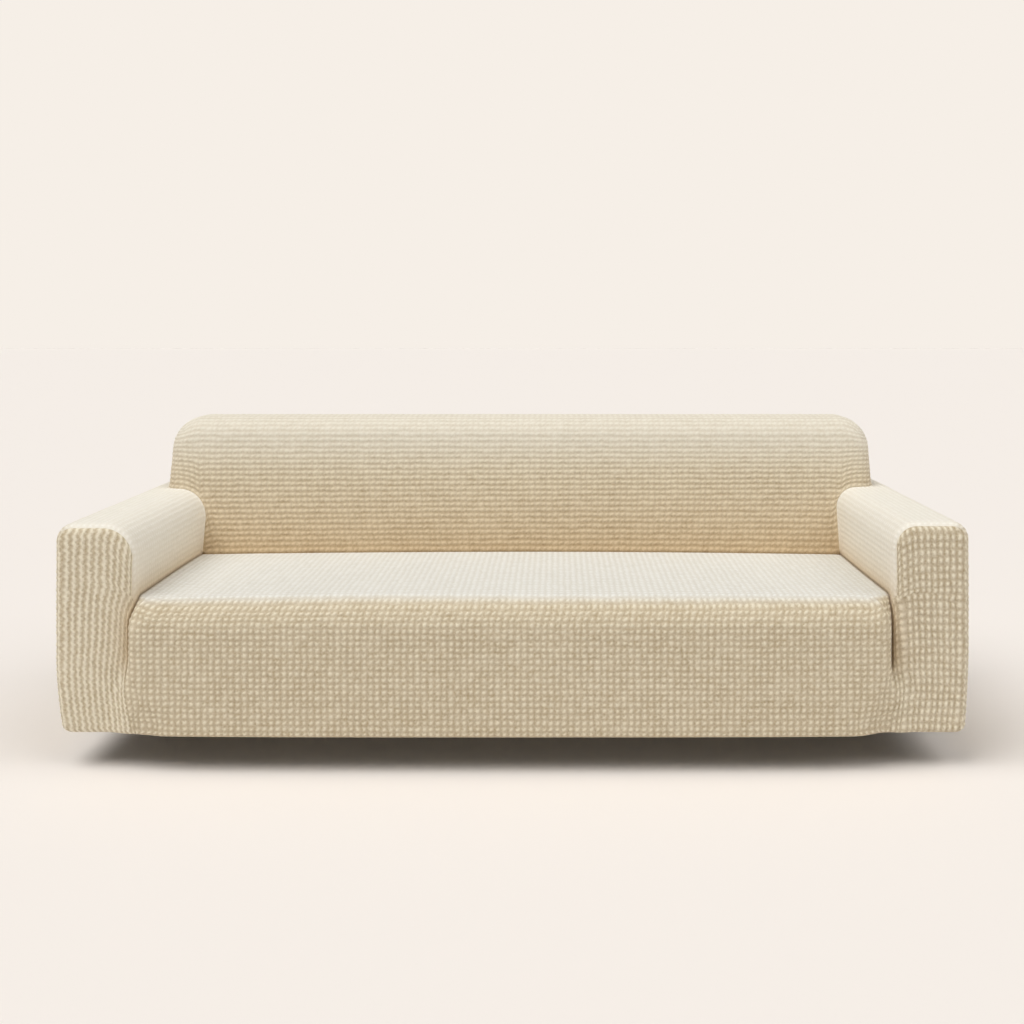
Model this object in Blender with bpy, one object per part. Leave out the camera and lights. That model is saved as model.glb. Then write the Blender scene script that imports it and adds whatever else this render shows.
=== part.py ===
# Stretch slipcover for a three-seat sofa, as it sits on the sofa.
# Metres, +Z up, front towards -Y, hem resting level at z = 0, centred on the origin.
#
# The cloth follows one smooth body: seat, two arms and back, joined with soft valleys.
# Each sewn panel is a grid on that body, thickened inwards, with a seam gap to its neighbours.

import bpy
import bmesh
import numpy as np

# Cloth
cloth_thickness = 0.002
seam_gap = 0.0004
hem_radius = 0.014
hem_turn = 0.036            # how far the hem reaches in under the cover

# Whole cover
half_width = 1.150
rear_y = 0.465
rear_radius = 0.035
arm_front_y = -0.420
arm_front_radius = 0.025
arm_outer_radius = 0.030

# Seat and apron
seat_side_z = 0.334
seat_crown = 0.014          # rise of the middle of the seat above its sides
seat_front_y = -0.465
apron_bow = 0.012           # the apron's ends lie this far behind its middle
apron_tuck = 0.005
seat_front_radius = 0.080
seat_side_radius = 0.012
apron_edge_radius = 0.032

# Back
back_half_width = 1.080
back_top_z = 0.734
back_face_y = 0.165         # where the leaning face meets the seat
back_lean = 0.32
back_corner_radius = 0.090
back_front_radius = 0.055
back_valley = 0.012

# The arms differ a little, as the padding under them does.
arms = {
    "left": {
        "side": -1,
        "inner_x": 0.957,
        "apron_x": 0.968,
        "top_z": 0.522,
        "inner_radius": 0.085,
        "valley": 0.014,
        "fade_z": 0.135,
        "tuck": 0.018,
        "tuck_z": 0.170,
    },
    "right": {
        "side": 1,
        "inner_x": 0.956,
        "apron_x": 0.957,
        "top_z": 0.527,
        "inner_radius": 0.060,
        "valley": 0.008,
        "fade_z": 0.168,
        "tuck": 0.011,
        "tuck_z": 0.200,
    },
}
hem_valley = 0.065          # valley radius between apron and arm front at the hem

# Grid counts
seat_columns = 30
seat_rows = 10
crease_corner_rows = 3
apron_rows = 6
hem_rows = 3
arm_rise_rows = 4
arm_corner_rows = 4
arm_top_rows = 2
arm_edge_rows = 2
back_side_rows = 4
back_head_rows = 4

# The arm's front seam leaves the seat's crease this far below the seat, with one short row there.
crease_corner_drop = 0.014
short_row = 0.011

cloth_colour = (0.72, 0.64, 0.48, 1.0)


# ---------------------------------------------------------------- body under the cloth

def ease(t):
    t = np.clip(t, 0.0, 1.0)
    return t * t * (3.0 - 2.0 * t)


def joined(a, b, radius):
    """Two bodies as one, with a hollow fillet in the valley between them."""
    fillet = np.hypot(np.maximum(radius - a, 0.0), np.maximum(radius - b, 0.0))
    return np.maximum(radius, np.minimum(a, b)) - fillet


def trimmed(a, b, radius):
    """What two bodies share, with its edge rounded."""
    edge = np.hypot(np.maximum(radius + a, 0.0), np.maximum(radius + b, 0.0))
    return np.minimum(-radius, np.maximum(a, b)) + edge


def tuck(z, depth, height):
    """How far the elastic hem draws a wall in at height z."""
    return depth * np.clip(1.0 - z / height, 0.0, 1.0) ** 1.6


def apron_y(x):
    return seat_front_y + apron_bow * (x / half_width) ** 4 * 2.0


def seat_body(p):
    x, y, z = p[..., 0], p[..., 1], p[..., 2]
    crown = seat_crown * (1.0 - (x / half_width) ** 2) * (1.0 - 0.4 * ease(y / 0.3))
    swell = 0.002 * np.sin(5.1 * x + 0.7) * np.sin(7.0 * y + 1.9)
    top = z - (seat_side_z + crown + swell)
    front = apron_y(x) + tuck(z, apron_tuck, 0.14) - y
    hidden = 0.02 * ease((y - arm_front_y) / 0.05)
    left = -x - (arms["left"]["apron_x"] + hidden)
    right = x - (arms["right"]["apron_x"] + hidden)
    edge_radius = apron_edge_radius + 0.06 * ease(1.0 - z / 0.16)
    body = trimmed(trimmed(front, left, edge_radius), right, edge_radius)
    near_front = ease(1.0 - (y - seat_front_y) / 0.17)
    top_radius = seat_side_radius + (seat_front_radius - seat_side_radius) * near_front
    return trimmed(body, top, top_radius)


def arm_block(p, arm):
    """An arm without its front face."""
    z = p[..., 2]
    out = p[..., 0] * arm["side"]
    outer = out - (half_width - tuck(z, arm["tuck"], arm["tuck_z"]))
    top = z - arm["top_z"]
    body = trimmed(outer, top, arm_outer_radius)
    return trimmed(body, arm["inner_x"] - out, arm["inner_radius"])


def arm_front(p):
    return arm_front_y - p[..., 1]


def arm_body(p, arm):
    return trimmed(arm_block(p, arm), arm_front(p), arm_front_radius)


def back_body(p):
    x, y, z = p[..., 0], p[..., 1], p[..., 2]
    top = z - back_top_z
    left = -x - back_half_width
    right = x - back_half_width
    outline = trimmed(trimmed(top, left, back_corner_radius), right, back_corner_radius)
    face = back_face_y + back_lean * (z - seat_side_z) - y
    return trimmed(outline, face / np.hypot(1.0, back_lean), back_front_radius)


def rear_face(p):
    return p[..., 1] - rear_y


def whole_body(p):
    """Seat, arms and back as one, still open behind and below."""
    z = p[..., 2]
    body = seat_body(p)
    for arm in arms.values():
        bridge = ease(1.0 - (z - 0.02) / (arm["fade_z"] + 0.05))
        valley = arm["valley"] + (hem_valley - arm["valley"]) * bridge
        body = joined(body, arm_body(p, arm), valley)
    body = joined(body, back_body(p), back_valley)
    return body


def cover_body(p):
    return trimmed(trimmed(whole_body(p), rear_face(p), rear_radius), -p[..., 2], hem_radius)


# ---------------------------------------------------------------- laying points on the body

def slope(rule, p):
    """Gradient of a rule at each point."""
    h = 0.0004
    parts = []
    for axis in range(3):
        step = np.zeros(3)
        step[axis] = h
        parts.append((rule(p + step) - rule(p - step)) / (2.0 * h))
    return np.stack(parts, axis=-1)


def settle(p, rules, rounds=40):
    """Move points until every rule is zero there."""
    p = np.array(p, dtype=float)
    for _ in range(rounds):
        for rule in rules:
            g = slope(rule, p)
            size = np.maximum((g * g).sum(-1), 1e-6)
            shift = (rule(p) / size)[..., None] * g
            reach = np.linalg.norm(shift, axis=-1, keepdims=True)
            p = p - shift * np.minimum(1.0, 0.03 / np.maximum(reach, 1e-9))
    return p


def on_body(p):
    return settle(p, [cover_body], 15)


def line(start, end, count, grade=0.0):
    """Points from start to end; grade draws them towards both ends."""
    t = np.linspace(0.0, 1.0, count + 1)
    t = t - grade * np.sin(2.0 * np.pi * t) / (2.0 * np.pi)
    return np.asarray(start) + t[:, None] * (np.asarray(end) - np.asarray(start))


def bend(start, corner, end, count):
    """Points along a smooth turn from start to end, pulled towards corner."""
    t = np.linspace(0.0, 1.0, count + 1)[:, None]
    start, corner, end = np.asarray(start), np.asarray(corner), np.asarray(end)
    return (1 - t) ** 2 * start + 2 * t * (1 - t) * corner + t ** 2 * end


def chain(*runs):
    """Runs end to end, their shared points kept once."""
    return np.concatenate([runs[0]] + [run[1:] for run in runs[1:]])


def patch(first, last, left, right):
    """Grid between four edge lines: rows run from first to last, left and right close them."""
    rows, columns = len(left), len(first)
    s = np.linspace(0.0, 1.0, rows)[:, None, None]
    t = np.linspace(0.0, 1.0, columns)[None, :, None]
    across = (1 - t) * left[:, None] + t * right[:, None]
    along = (1 - s) * first[None] + s * last[None]
    ends = (1 - s) * ((1 - t) * first[0] + t * first[-1]) + s * ((1 - t) * last[0] + t * last[-1])
    return across + along - ends


# ---------------------------------------------------------------- seams shared by two panels

def closed_body(p):
    return trimmed(whole_body(p), rear_face(p), rear_radius)


def hem_opening(p):
    return closed_body(p) + hem_turn


def rear_seam(p):
    return whole_body(p) - rear_face(p)


def seat_back_seam(p):
    return seat_body(p) - back_body(p)


def face_y(z):
    return back_face_y + back_lean * (z - seat_side_z)


def settle_line(points, rule, first=None, last=None):
    """A seam line laid in its valley or along its edge, with its end points pinned by one more rule."""
    points = settle(points, [rule, cover_body])
    if first is not None:
        points[0] = settle(points[0], [first, rule, cover_body], 120)
    if last is not None:
        points[-1] = settle(points[-1], [last, rule, cover_body], 120)
    return points


def crease_guide(arm, meet):
    """From the back along the seat's side to the arm's front edge, then down the apron's edge and under."""
    side, wall, z = arm["side"], arm["inner_x"] - 0.012, seat_side_z + 0.020
    edge, y, low_y = arm["apron_x"], arm_front_y - 0.006, arm_front_y - 0.018
    top = line((side * wall, back_face_y, z), (side * wall, meet[1] + short_row, z), seat_rows - 1, 0.7)
    low = meet[2] - 0.060
    corner = bend(meet, (side * edge, y, meet[2] - 0.015), (side * edge, y, low), crease_corner_rows)
    down = line(corner[-1], (side * edge, low_y, hem_radius), apron_rows)
    under = bend(down[-1], (side * edge, low_y, 0.0), (side * edge, low_y + hem_radius, 0.0), hem_rows)
    turned = line(under[-1], (side * edge, low_y + hem_turn, 0.0), 1)
    return np.concatenate([top, chain(corner, down, under, turned)])


def edge_guide(arm, start, heights):
    """Round the arm's front edge: up from the crease, over the top, down the outer side and under."""
    side, y, top_z = arm["side"], arm_front_y + 0.007, arm["top_z"]
    inner, radius = arm["inner_x"], arm["inner_radius"]
    first = (side * inner, y, start[2] + short_row)
    rise = chain(np.array((start, first)), line(first, (side * inner, y, top_z - radius), arm_rise_rows - 1))
    over = bend(rise[-1], (side * inner, y, top_z), (side * (inner + radius), y, top_z), arm_corner_rows)
    top = line(over[-1], (side * (half_width - arm_outer_radius), y, top_z), arm_top_rows)
    low = top_z - arm_outer_radius
    edge = bend(top[-1], (side * half_width, y, top_z), (side * half_width, y, low), arm_edge_rows)
    z = heights[::-1][1:]
    walls = half_width - tuck(z, arm["tuck"], arm["tuck_z"])
    down = np.stack([side * walls, np.full_like(z, y), z], axis=-1)
    wall = walls[-1]
    inset = wall - hem_radius
    under = bend(down[-1], (side * wall, y, 0.0), (side * inset, y + hem_radius, 0.0), hem_rows)
    turned = line(under[-1], (side * (wall - hem_turn), arm_front_y + hem_turn, 0.0), 1)
    return chain(rise, over, top, edge, np.concatenate([edge[-1:], down]), under, turned)


def back_guide(arm):
    """Up the valley between arm and back, over the arm's top and along the back's side to the rear."""
    side, top_z, radius = arm["side"], arm["top_z"], arm["inner_radius"]
    inner = arm["inner_x"] - 0.003
    z = np.linspace(seat_side_z + 0.003, top_z - radius, arm_rise_rows + 1)
    rise = np.stack([np.full_like(z, side * inner), face_y(z) - 0.003, z], axis=-1)
    y = face_y(top_z) - 0.003
    over = bend(rise[-1], (side * inner, y, top_z), (side * (inner + radius), y, top_z), arm_corner_rows)
    corner_x = back_half_width - 0.016
    turn = line(over[-1], (side * corner_x, y + 0.016, top_z + 0.003), 1)
    front = (side * (back_half_width + 0.003), y + back_front_radius, top_z + 0.003)
    rear = (side * (back_half_width + 0.003), rear_y - 0.010, top_z + 0.003)
    beside = chain(line(turn[-1], front, 1), line(front, rear, back_side_rows - 1))
    return chain(rise, over, turn, beside)


def arm_seams(arm):
    """Every seam line of one arm."""
    def crease_rule(p):
        return seat_body(p) - arm_body(p, arm)

    def edge_rule(p):
        return arm_block(p, arm) - arm_front(p)

    def back_rule(p):
        return arm_body(p, arm) - back_body(p)

    def corner_level(p):
        return p[..., 2] - (seat_side_z - crease_corner_drop)

    start = np.array((arm["side"] * arm["inner_x"], arm_front_y, seat_side_z))
    corner_point = settle(start, [corner_level, crease_rule, cover_body], 120)
    raw_crease = crease_guide(arm, corner_point)
    crease = settle_line(raw_crease, crease_rule, seat_back_seam, hem_opening)
    meet = seat_rows
    crease[meet] = corner_point

    # The outer side's rows lie level with the rows of the inner side.
    top_z, radius = arm["top_z"], arm["inner_radius"]
    hem_row = len(crease) - 1 - 1 - hem_rows
    shoulder = top_z - radius * (1.0 - np.sqrt(0.5))
    rise = np.linspace(crease[meet, 2] + short_row, top_z - radius, arm_rise_rows)
    over = np.linspace(top_z - radius, shoulder, arm_corner_rows // 2 + 1)[1:]
    inner_z = np.concatenate([crease[meet:hem_row + 1, 2][::-1], rise, over])
    share = (inner_z - inner_z[0]) / (inner_z[-1] - inner_z[0])
    level = hem_radius + share * (top_z - arm_outer_radius - hem_radius)
    count = len(level) - arm_edge_rows // 2
    heights = np.interp(np.linspace(0, 1, count), np.linspace(0, 1, len(level)), level)
    raw_edge = edge_guide(arm, crease[meet], heights)
    edge = settle_line(raw_edge, edge_rule, None, hem_opening)
    edge[0] = crease[meet]

    back = settle_line(back_guide(arm), back_rule, seat_back_seam, rear_seam)
    crease[0] = back[0]

    corner = arm_rise_rows + arm_corner_rows + 1
    raw_rear = raw_edge[corner:].copy()
    raw_rear[:, 1] = rear_y - (raw_rear[:, 1] - arm_front_y)
    rear = settle_line(raw_rear, rear_seam, None, hem_opening)
    rear[0] = back[-1]
    return {
        "raw_crease": raw_crease,
        "crease": crease,
        "raw_edge": raw_edge,
        "edge": edge,
        "back": back,
        "rear": rear,
        "meet": meet,
        "corner": corner,
    }


# ---------------------------------------------------------------- panels

def seat_front_blocks(left, right):
    rows = len(left["crease"])
    t = np.linspace(-1.0, 1.0, seat_columns + 1)
    t = 0.35 * t + 0.65 * np.sin(0.5 * np.pi * t)
    share = (t + 1.0)[None, :, None] / 2.0
    grid = (1.0 - share) * left["raw_crease"][:, None] + share * right["raw_crease"][:, None]
    forward = ease((np.arange(rows) - seat_rows + 4.0) / 4.0)[:, None]
    inside = ease((1.0 - np.abs(t)) * half_width / 0.06)[None, :]
    grid[..., 1] += forward * inside * (apron_y(grid[..., 0]) - arm_front_y - 0.012)
    grid = on_body(grid)
    back = grid[0] + np.array((0.0, 0.0, 0.003))
    grid[0] = settle_line(back, seat_back_seam)
    grid[-1] = settle(grid[-1], [hem_opening, cover_body])
    grid[:, 0] = left["crease"]
    grid[:, -1] = right["crease"]
    return [grid]


def wrap_step(k, steps):
    """Way out over the back's edge at step k: reach across the border, then share of the depth."""
    border = ((0.0, 0.0), (0.030, 0.0), (0.055, 0.002), (0.078, 0.016), (0.089, 0.050))
    if k < len(border):
        return border[k][0], border[k][1], 0.0
    return back_corner_radius, border[-1][1], (k - len(border) + 1) / (steps - len(border) + 1)


def inside_back_blocks(left, right, seat_row):
    low = arm_rise_rows + arm_corner_rows // 2
    wraps = len(left["back"]) - 1 - low
    fronts = seat_columns
    share = (seat_row[:, 0] - seat_row[0, 0]) / (seat_row[-1, 0] - seat_row[0, 0])
    reach_x = back_half_width - back_corner_radius
    reach_z = back_top_z - back_corner_radius

    # Stem, between the arms
    shelf = left["back"][low] + share[:, None] * (right["back"][low] - left["back"][low])
    shelf[:, 0] = (2.0 * share - 1.0) * reach_x
    shelf[:, 1] = face_y(shelf[:, 2])
    shelf = on_body(shelf)
    shelf[0], shelf[-1] = left["back"][low], right["back"][low]
    rise = np.linspace(0.0, 1.0, low + 1)[:, None, None]
    stem = on_body(seat_row[None] + rise * (shelf - seat_row)[None])
    stem[0], stem[-1] = seat_row, shelf
    stem[:, 0], stem[:, -1] = left["back"][:low + 1], right["back"][:low + 1]

    # Head, over the top and round both sides to the rear seam, mitred at the corners
    head = np.zeros((back_head_rows + wraps + 1, fronts + 2 * wraps + 1, 3))
    for j in range(head.shape[0]):
        up = max(0, j - back_head_rows)
        rise = min(j, back_head_rows) / back_head_rows
        for i in range(head.shape[1]):
            out = max(wraps - i, i - wraps - fronts, 0)
            sign = -1.0 if i <= wraps else 1.0
            across, depth, back_share = wrap_step(max(out, up), wraps)
            front = share[min(max(i - wraps, 0), fronts)]
            base_z = shelf[0, 2] + front * (shelf[-1, 2] - shelf[0, 2])
            z = base_z + rise * (reach_z - base_z)
            x = (2.0 * front - 1.0) * reach_x
            if out and up:
                angle = 0.5 * np.pi * (0.5 * up / out if up <= out else 1.0 - 0.5 * out / up)
                x = sign * (reach_x + across * np.cos(angle))
                z = reach_z + across * np.sin(angle)
            elif out:
                x = sign * (reach_x + across)
            elif up:
                z = reach_z + across
            y = face_y(z) + depth
            head[j, i] = (x, y + back_share * (rear_y - 0.010 - y), z)
    head = on_body(head)
    head[:, 0] = settle_line(head[:, 0], rear_seam)
    head[:, -1] = settle_line(head[:, -1], rear_seam)
    head[-1] = settle_line(head[-1], rear_seam)
    head[0, :wraps + 1] = left["back"][low:][::-1]
    head[0, wraps:wraps + fronts + 1] = shelf
    head[0, wraps + fronts:] = right["back"][low:]
    return [stem, head]


def arm_panel_blocks(arm, seams):
    edge, raw, corner, meet = seams["edge"], seams["raw_edge"], seams["corner"], seams["meet"]
    crease, back, rear = seams["crease"], seams["back"], seams["rear"]
    side_rows = crease[:meet + 1][::-1]
    start, stop = side_rows[0, 1], side_rows[-1, 1]
    share = (side_rows[:, 1] - start) / (stop - start)

    # Inner block: from the seat up the inner face and over to the back's corner
    inner = np.zeros((len(share), corner + 1, 3))
    ends = back[:corner + 1]
    inner[:] = edge[None, :corner + 1] + share[:, None, None] * (ends - edge[:corner + 1])[None]
    inner[1:-1, :, 0] = raw[None, :corner + 1, 0]
    inner[1:-1, :, 2] = raw[None, :corner + 1, 2]
    rise = raw[:arm_rise_rows + 1, 2]
    part_way = (rise - rise[0]) / (rise[-1] - rise[0])
    low = side_rows[1:-1, 2][:, None]
    inner[1:-1, :arm_rise_rows + 1, 2] = low + part_way[None] * (rise[-1] - low)
    inner = on_body(inner)
    inner[0], inner[-1], inner[:, 0] = edge[:corner + 1], ends, side_rows

    # Outer block: the whole depth, from the arm's top down the outer side to the hem
    tail = back[corner:]
    front_line, rear_line = edge[corner:], rear
    spine = chain(inner[:, corner], tail)
    depth_share = (spine[:, 1] - spine[0, 1]) / (spine[-1, 1] - spine[0, 1])
    outer = front_line[None] + depth_share[:, None, None] * (rear_line - front_line)[None]
    outer[1:-1, :, 0] = raw[None, corner:, 0]
    outer[1:-1, :, 2] = raw[None, corner:, 2]
    outer = on_body(outer)
    outer[1:-1, -1] = settle(outer[1:-1, -1], [hem_opening, cover_body])
    outer[:, 0], outer[0], outer[-1] = spine, front_line, rear_line
    return [inner, outer]


def arm_front_blocks(arm, seams):
    edge, crease, meet = seams["edge"], seams["crease"], seams["meet"]
    inner_top = arm_rise_rows + arm_corner_rows // 2
    outer_top = arm_rise_rows + arm_corner_rows + arm_top_rows + arm_edge_rows // 2
    inner = np.concatenate([crease[meet:][::-1], edge[1:inner_top + 1]])
    outer = edge[outer_top:][::-1]
    top = edge[inner_top:outer_top + 1]
    bottom = settle(line(inner[0], outer[0], len(top) - 1), [hem_opening, cover_body])
    bottom[0], bottom[-1] = inner[0], outer[0]
    grid = on_body(patch(bottom, top, inner, outer))
    grid[0], grid[-1], grid[:, 0], grid[:, -1] = bottom, top, inner, outer
    return [grid]


def outside_back_blocks(left, right, head):
    """Hem strip and an edge ring; the flat middle is one face, given as a loop."""
    strip_rows = hem_rows + 2
    low_left, low_right = left["rear"][::-1], right["rear"][::-1]
    rim = np.concatenate([
        low_left[strip_rows:],
        head[1:, 0],
        head[-1, 1:-1],
        head[:, -1][::-1],
        low_right[strip_rows:][::-1][1:],
    ])

    def set_in(p):
        return whole_body(p) + rear_radius + 0.004

    ring = settle(rim + np.array((0.0, 0.004, 0.0)), [set_in, cover_body], 60)
    strip = []
    for k in range(strip_rows + 1):
        a, b = low_left[k], low_right[k]
        ends = rim.shape[0] - 1
        xs = np.concatenate([[a[0]], np.linspace(ring[0, 0], ring[ends, 0], 11), [b[0]]])
        s = (xs - a[0]) / (b[0] - a[0])
        row = a + s[:, None] * (b - a)
        row[:, 0] = xs
        if k == 0:
            row[1:-1, 1] = rear_y - hem_turn
        elif k > hem_rows:
            row[1:-1, 1] = rear_y
        else:
            turn = 0.5 * np.pi * (k - 1) / hem_rows
            row[1:-1, 1] = rear_y - hem_radius * (1.0 - np.sin(turn))
            row[1:-1, 2] = hem_radius * (1.0 - np.cos(turn))
        strip.append(row)
    strip = np.array(strip)
    strip[:, 1:-1] = on_body(strip[:, 1:-1])
    strip[0, 1:-1] = settle(strip[0, 1:-1], [hem_opening, cover_body])
    strip[-1, 1] = ring[0] = (ring[0, 0], rear_y, strip[-1, 1, 2])
    strip[-1, -2] = ring[-1] = (ring[-1, 0], rear_y, strip[-1, -2, 2])
    band = np.stack([rim, ring])
    middle = np.concatenate([ring, strip[-1, 2:-2][::-1]])
    return [strip, band], [middle]


# ---------------------------------------------------------------- closed cloth

def fabric():
    material = bpy.data.materials.new("stretch_fabric")
    material.use_nodes = True
    shader = material.node_tree.nodes["Principled BSDF"]
    shader.inputs["Base Color"].default_value = cloth_colour
    shader.inputs["Roughness"].default_value = 0.9
    shader.inputs["Metallic"].default_value = 0.0
    return material


def cloth(name, blocks, loops, material):
    """One closed sheet: the blocks' outer faces, the same faces set in, and a rim round every edge."""
    places, points = {}, []

    def place(point):
        key = tuple(np.round(point, 6))
        if key not in places:
            places[key] = len(points)
            points.append(point)
        return places[key]

    faces = []
    for grid in blocks:
        index = [[place(point) for point in row] for row in grid]
        for j in range(len(index) - 1):
            for i in range(len(index[0]) - 1):
                faces.append((index[j][i], index[j][i + 1], index[j + 1][i + 1], index[j + 1][i]))
    for loop in loops:
        faces.append(tuple(place(point) for point in loop))
    points = np.array(points)

    # All faces one way round, outwards
    normals = slope(cover_body, points)
    normals /= np.linalg.norm(normals, axis=-1, keepdims=True)
    turned = []
    for face in faces:
        corners = points[list(face)]
        area = sum(np.cross(corners[k] - corners[0], corners[k + 1] - corners[0])
                   for k in range(1, len(face) - 1))
        outward = float(area @ normals[list(face)].mean(axis=0))
        turned.append(face if outward > 0 else face[::-1])

    # Edges used once are the sheet's border, drawn in by half a seam gap
    used = {}
    for number, face in enumerate(turned):
        for k in range(len(face)):
            pair = (face[k], face[(k + 1) % len(face)])
            used.setdefault(frozenset(pair), []).append((pair, number))
    border = [uses[0] for uses in used.values() if len(uses) == 1]
    inward = {}
    for (a, b), number in border:
        along = points[b] - points[a]
        along /= np.linalg.norm(along)
        face = turned[number]
        near = [v for v in face if v not in (a, b)]
        if len(face) > 4:
            near = [a]
        normal = normals[a] + normals[b]
        across = np.cross(normal, along)
        across /= np.linalg.norm(across)
        for end in (a, b):
            inward.setdefault(end, []).append(across)
    shift = np.zeros_like(points)
    for vertex, ways in inward.items():
        total = sum(ways)
        shift[vertex] = 0.5 * seam_gap * total * len(ways) / max(float(total @ total), 0.5)

    inner = settle(points - cloth_thickness * normals, [lambda p: cover_body(p) + cloth_thickness], 10)
    count = len(points)
    vertices = np.concatenate([points + shift, inner + shift])
    closed = list(turned)
    closed += [tuple(v + count for v in face[::-1]) for face in turned]
    closed += [(b, a, a + count, b + count) for (a, b), _ in border]
    mesh = bpy.data.meshes.new(name)
    mesh.from_pydata([tuple(v) for v in vertices], [], closed)
    mesh.validate()
    sheet = bmesh.new()
    sheet.from_mesh(mesh)
    bmesh.ops.recalc_face_normals(sheet, faces=sheet.faces)
    sheet.to_mesh(mesh)
    sheet.free()
    mesh.shade_smooth()
    mesh.set_sharp_from_angle(angle=np.radians(40))
    mesh.materials.append(material)
    piece = bpy.data.objects.new(name, mesh)
    bpy.context.collection.objects.link(piece)
    return piece


def build():
    for old in list(bpy.data.objects):
        bpy.data.objects.remove(old, do_unlink=True)
    material = fabric()
    seams = {name: arm_seams(arm) for name, arm in arms.items()}
    left, right = seams["left"], seams["right"]
    seat = seat_front_blocks(left, right)
    inside = inside_back_blocks(left, right, seat[0][0])
    cloth("seat_front_panel", seat, [], material)
    cloth("inside_back_panel", inside, [], material)
    for name, arm in arms.items():
        cloth(name + "_arm_panel", arm_panel_blocks(arm, seams[name]), [], material)
        cloth(name + "_arm_front", arm_front_blocks(arm, seams[name]), [], material)
    strips, middle = outside_back_blocks(left, right, inside[1])
    cloth("outside_back_panel", strips, middle, material)


build()
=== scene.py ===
# Stretch slipcover as it sits on a three-seat sofa: seven knitted panels over one smooth body.
# Metres, front towards -Y, hem at z = 0. The sofa itself is left out, so the cover is hollow.
import math

import bpy
import numpy as np
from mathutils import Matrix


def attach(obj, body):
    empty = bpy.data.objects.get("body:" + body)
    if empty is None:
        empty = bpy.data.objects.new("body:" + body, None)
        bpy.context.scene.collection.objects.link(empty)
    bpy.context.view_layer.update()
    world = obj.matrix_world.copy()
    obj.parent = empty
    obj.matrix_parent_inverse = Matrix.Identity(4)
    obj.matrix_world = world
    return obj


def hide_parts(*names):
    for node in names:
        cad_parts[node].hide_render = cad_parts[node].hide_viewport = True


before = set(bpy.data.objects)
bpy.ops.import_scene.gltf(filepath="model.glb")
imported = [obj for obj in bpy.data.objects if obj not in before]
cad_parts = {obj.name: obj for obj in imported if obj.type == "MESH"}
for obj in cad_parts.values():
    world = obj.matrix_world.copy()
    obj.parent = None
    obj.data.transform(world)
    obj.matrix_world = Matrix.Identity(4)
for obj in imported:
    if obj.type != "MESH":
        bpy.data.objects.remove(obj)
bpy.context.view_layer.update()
print("frame loaded with", len(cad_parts), "panels")

# The cloth and the whole cover
cover = {
    "thickness": 0.002,
    "hemRadius": 0.014,
    "hemTurn": 0.036,  # how far the hem reaches in under the cover
    "hemValley": 0.080,
    "tuckCurve": 1.6,  # how fast the pull of the elastic fades with height
    "halfWidth": 1.150,
    "rearY": 0.465,
    "rearRadius": 0.035,
    "armFrontY": -0.420,
    "armFrontRadius": 0.032,
    "armOuterRadius": 0.045,
}
seat = {
    "sideZ": 0.334,
    "crown": 0.014,
    "crownFall": 0.4,  # the share of the crown that is gone by crownFallY
    "crownFallY": 0.3,
    "swell": 0.002,
    "frontY": -0.465,
    "bow": 0.024,
    "tuck": 0.005,
    "tuckZ": 0.14,
    "frontRadius": 0.080,
    "sideRadius": 0.012,
    "edgeRadius": 0.032,
    "edgeGrowth": 0.065,  # how much rounder the edge gets from edgeGrowthZ down to the hem
    "edgeGrowthZ": 0.16,
    "roundDepth": 0.17,  # how far back the front edge's roundness reaches
    "hiddenReach": 0.035,  # how far the seat runs in under the arms, past hiddenDepth
    "hiddenDepth": 0.05,
}
back = {
    "halfWidth": 1.074,
    "topZ": 0.734,
    "faceY": 0.165,
    "lean": 0.32,
    "cornerRadius": 0.090,
    "frontRadius": 0.055,
    "valley": 0.012,
}
arms = {
    "left": {
        "side": -1, "innerX": 0.945, "apronX": 0.957, "topZ": 0.522, "innerRadius": 0.085,
        "valley": 0.014, "bridgeLow": 0.02, "bridgeHigh": 0.205, "tuck": 0.018, "tuckZ": 0.170,
    },
    "right": {
        "side": 1, "innerX": 0.956, "apronX": 0.945, "topZ": 0.527, "innerRadius": 0.060,
        "valley": 0.008, "bridgeLow": 0.06, "bridgeHigh": 0.200, "tuck": 0.011, "tuckZ": 0.200,
    },
}
# Guide grid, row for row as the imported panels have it
guide = {
    "seatColumns": 30, "seatRows": 10, "creaseCornerRows": 3, "apronRows": 6, "hemRows": 3,
    "armRise": 4, "armCorner": 4, "armTop": 2, "armEdge": 2, "backSide": 4,
    "creaseDrop": 0.014, "shortRow": 0.011, "creaseIn": 0.012, "creaseUp": 0.020, "creaseGrade": 0.7,
    "creaseOut": 0.006, "creaseFoot": 0.018, "cornerTall": 0.060, "cornerPull": 0.015, "edgeShare": 0.29,
    "backNudge": 0.003, "backTurn": 0.016, "rearNudge": 0.010, "seatBend": 0.65, "seatLift": 0.003,
    "apronRun": 4.0, "apronSide": 0.06, "apronOut": 0.012,
}
# How points are settled: steps for slopes, the longest move, and rounds for a line, its ends and a fine grid
settling = {
    "step": 0.00002, "wideStep": 0.0004, "longest": 0.03,
    "rounds": 40, "endRounds": 120, "fineRounds": 3,
}
# Knit: puffs per panel are counted from these sizes
knit = {
    "puffWidth": 0.0162,
    "puffHeight": 0.0152,
    "seamSink": 0.0004,
    "rimWidth": 0.4,  # how much of a puff the sunk edge beside a seam takes up
    "valleyPower": 1.7,
    "leanWidth": 0.75,
    "bandZ": 0.004,  # puffs start above the plain band of the hem, and are full after bandFade
    "bandFade": 0.008,
    "seatShadeFade": 0.08,
    "jitter": 0.18,  # how far the knit's lines stray, in puffs
    "uneven": 0.5,
    "patchAcross": 0.31,  # patches of fuller puffs, as a share of the puff count
    "patchAlong": 0.37,
    "seed": 7,
}
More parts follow.
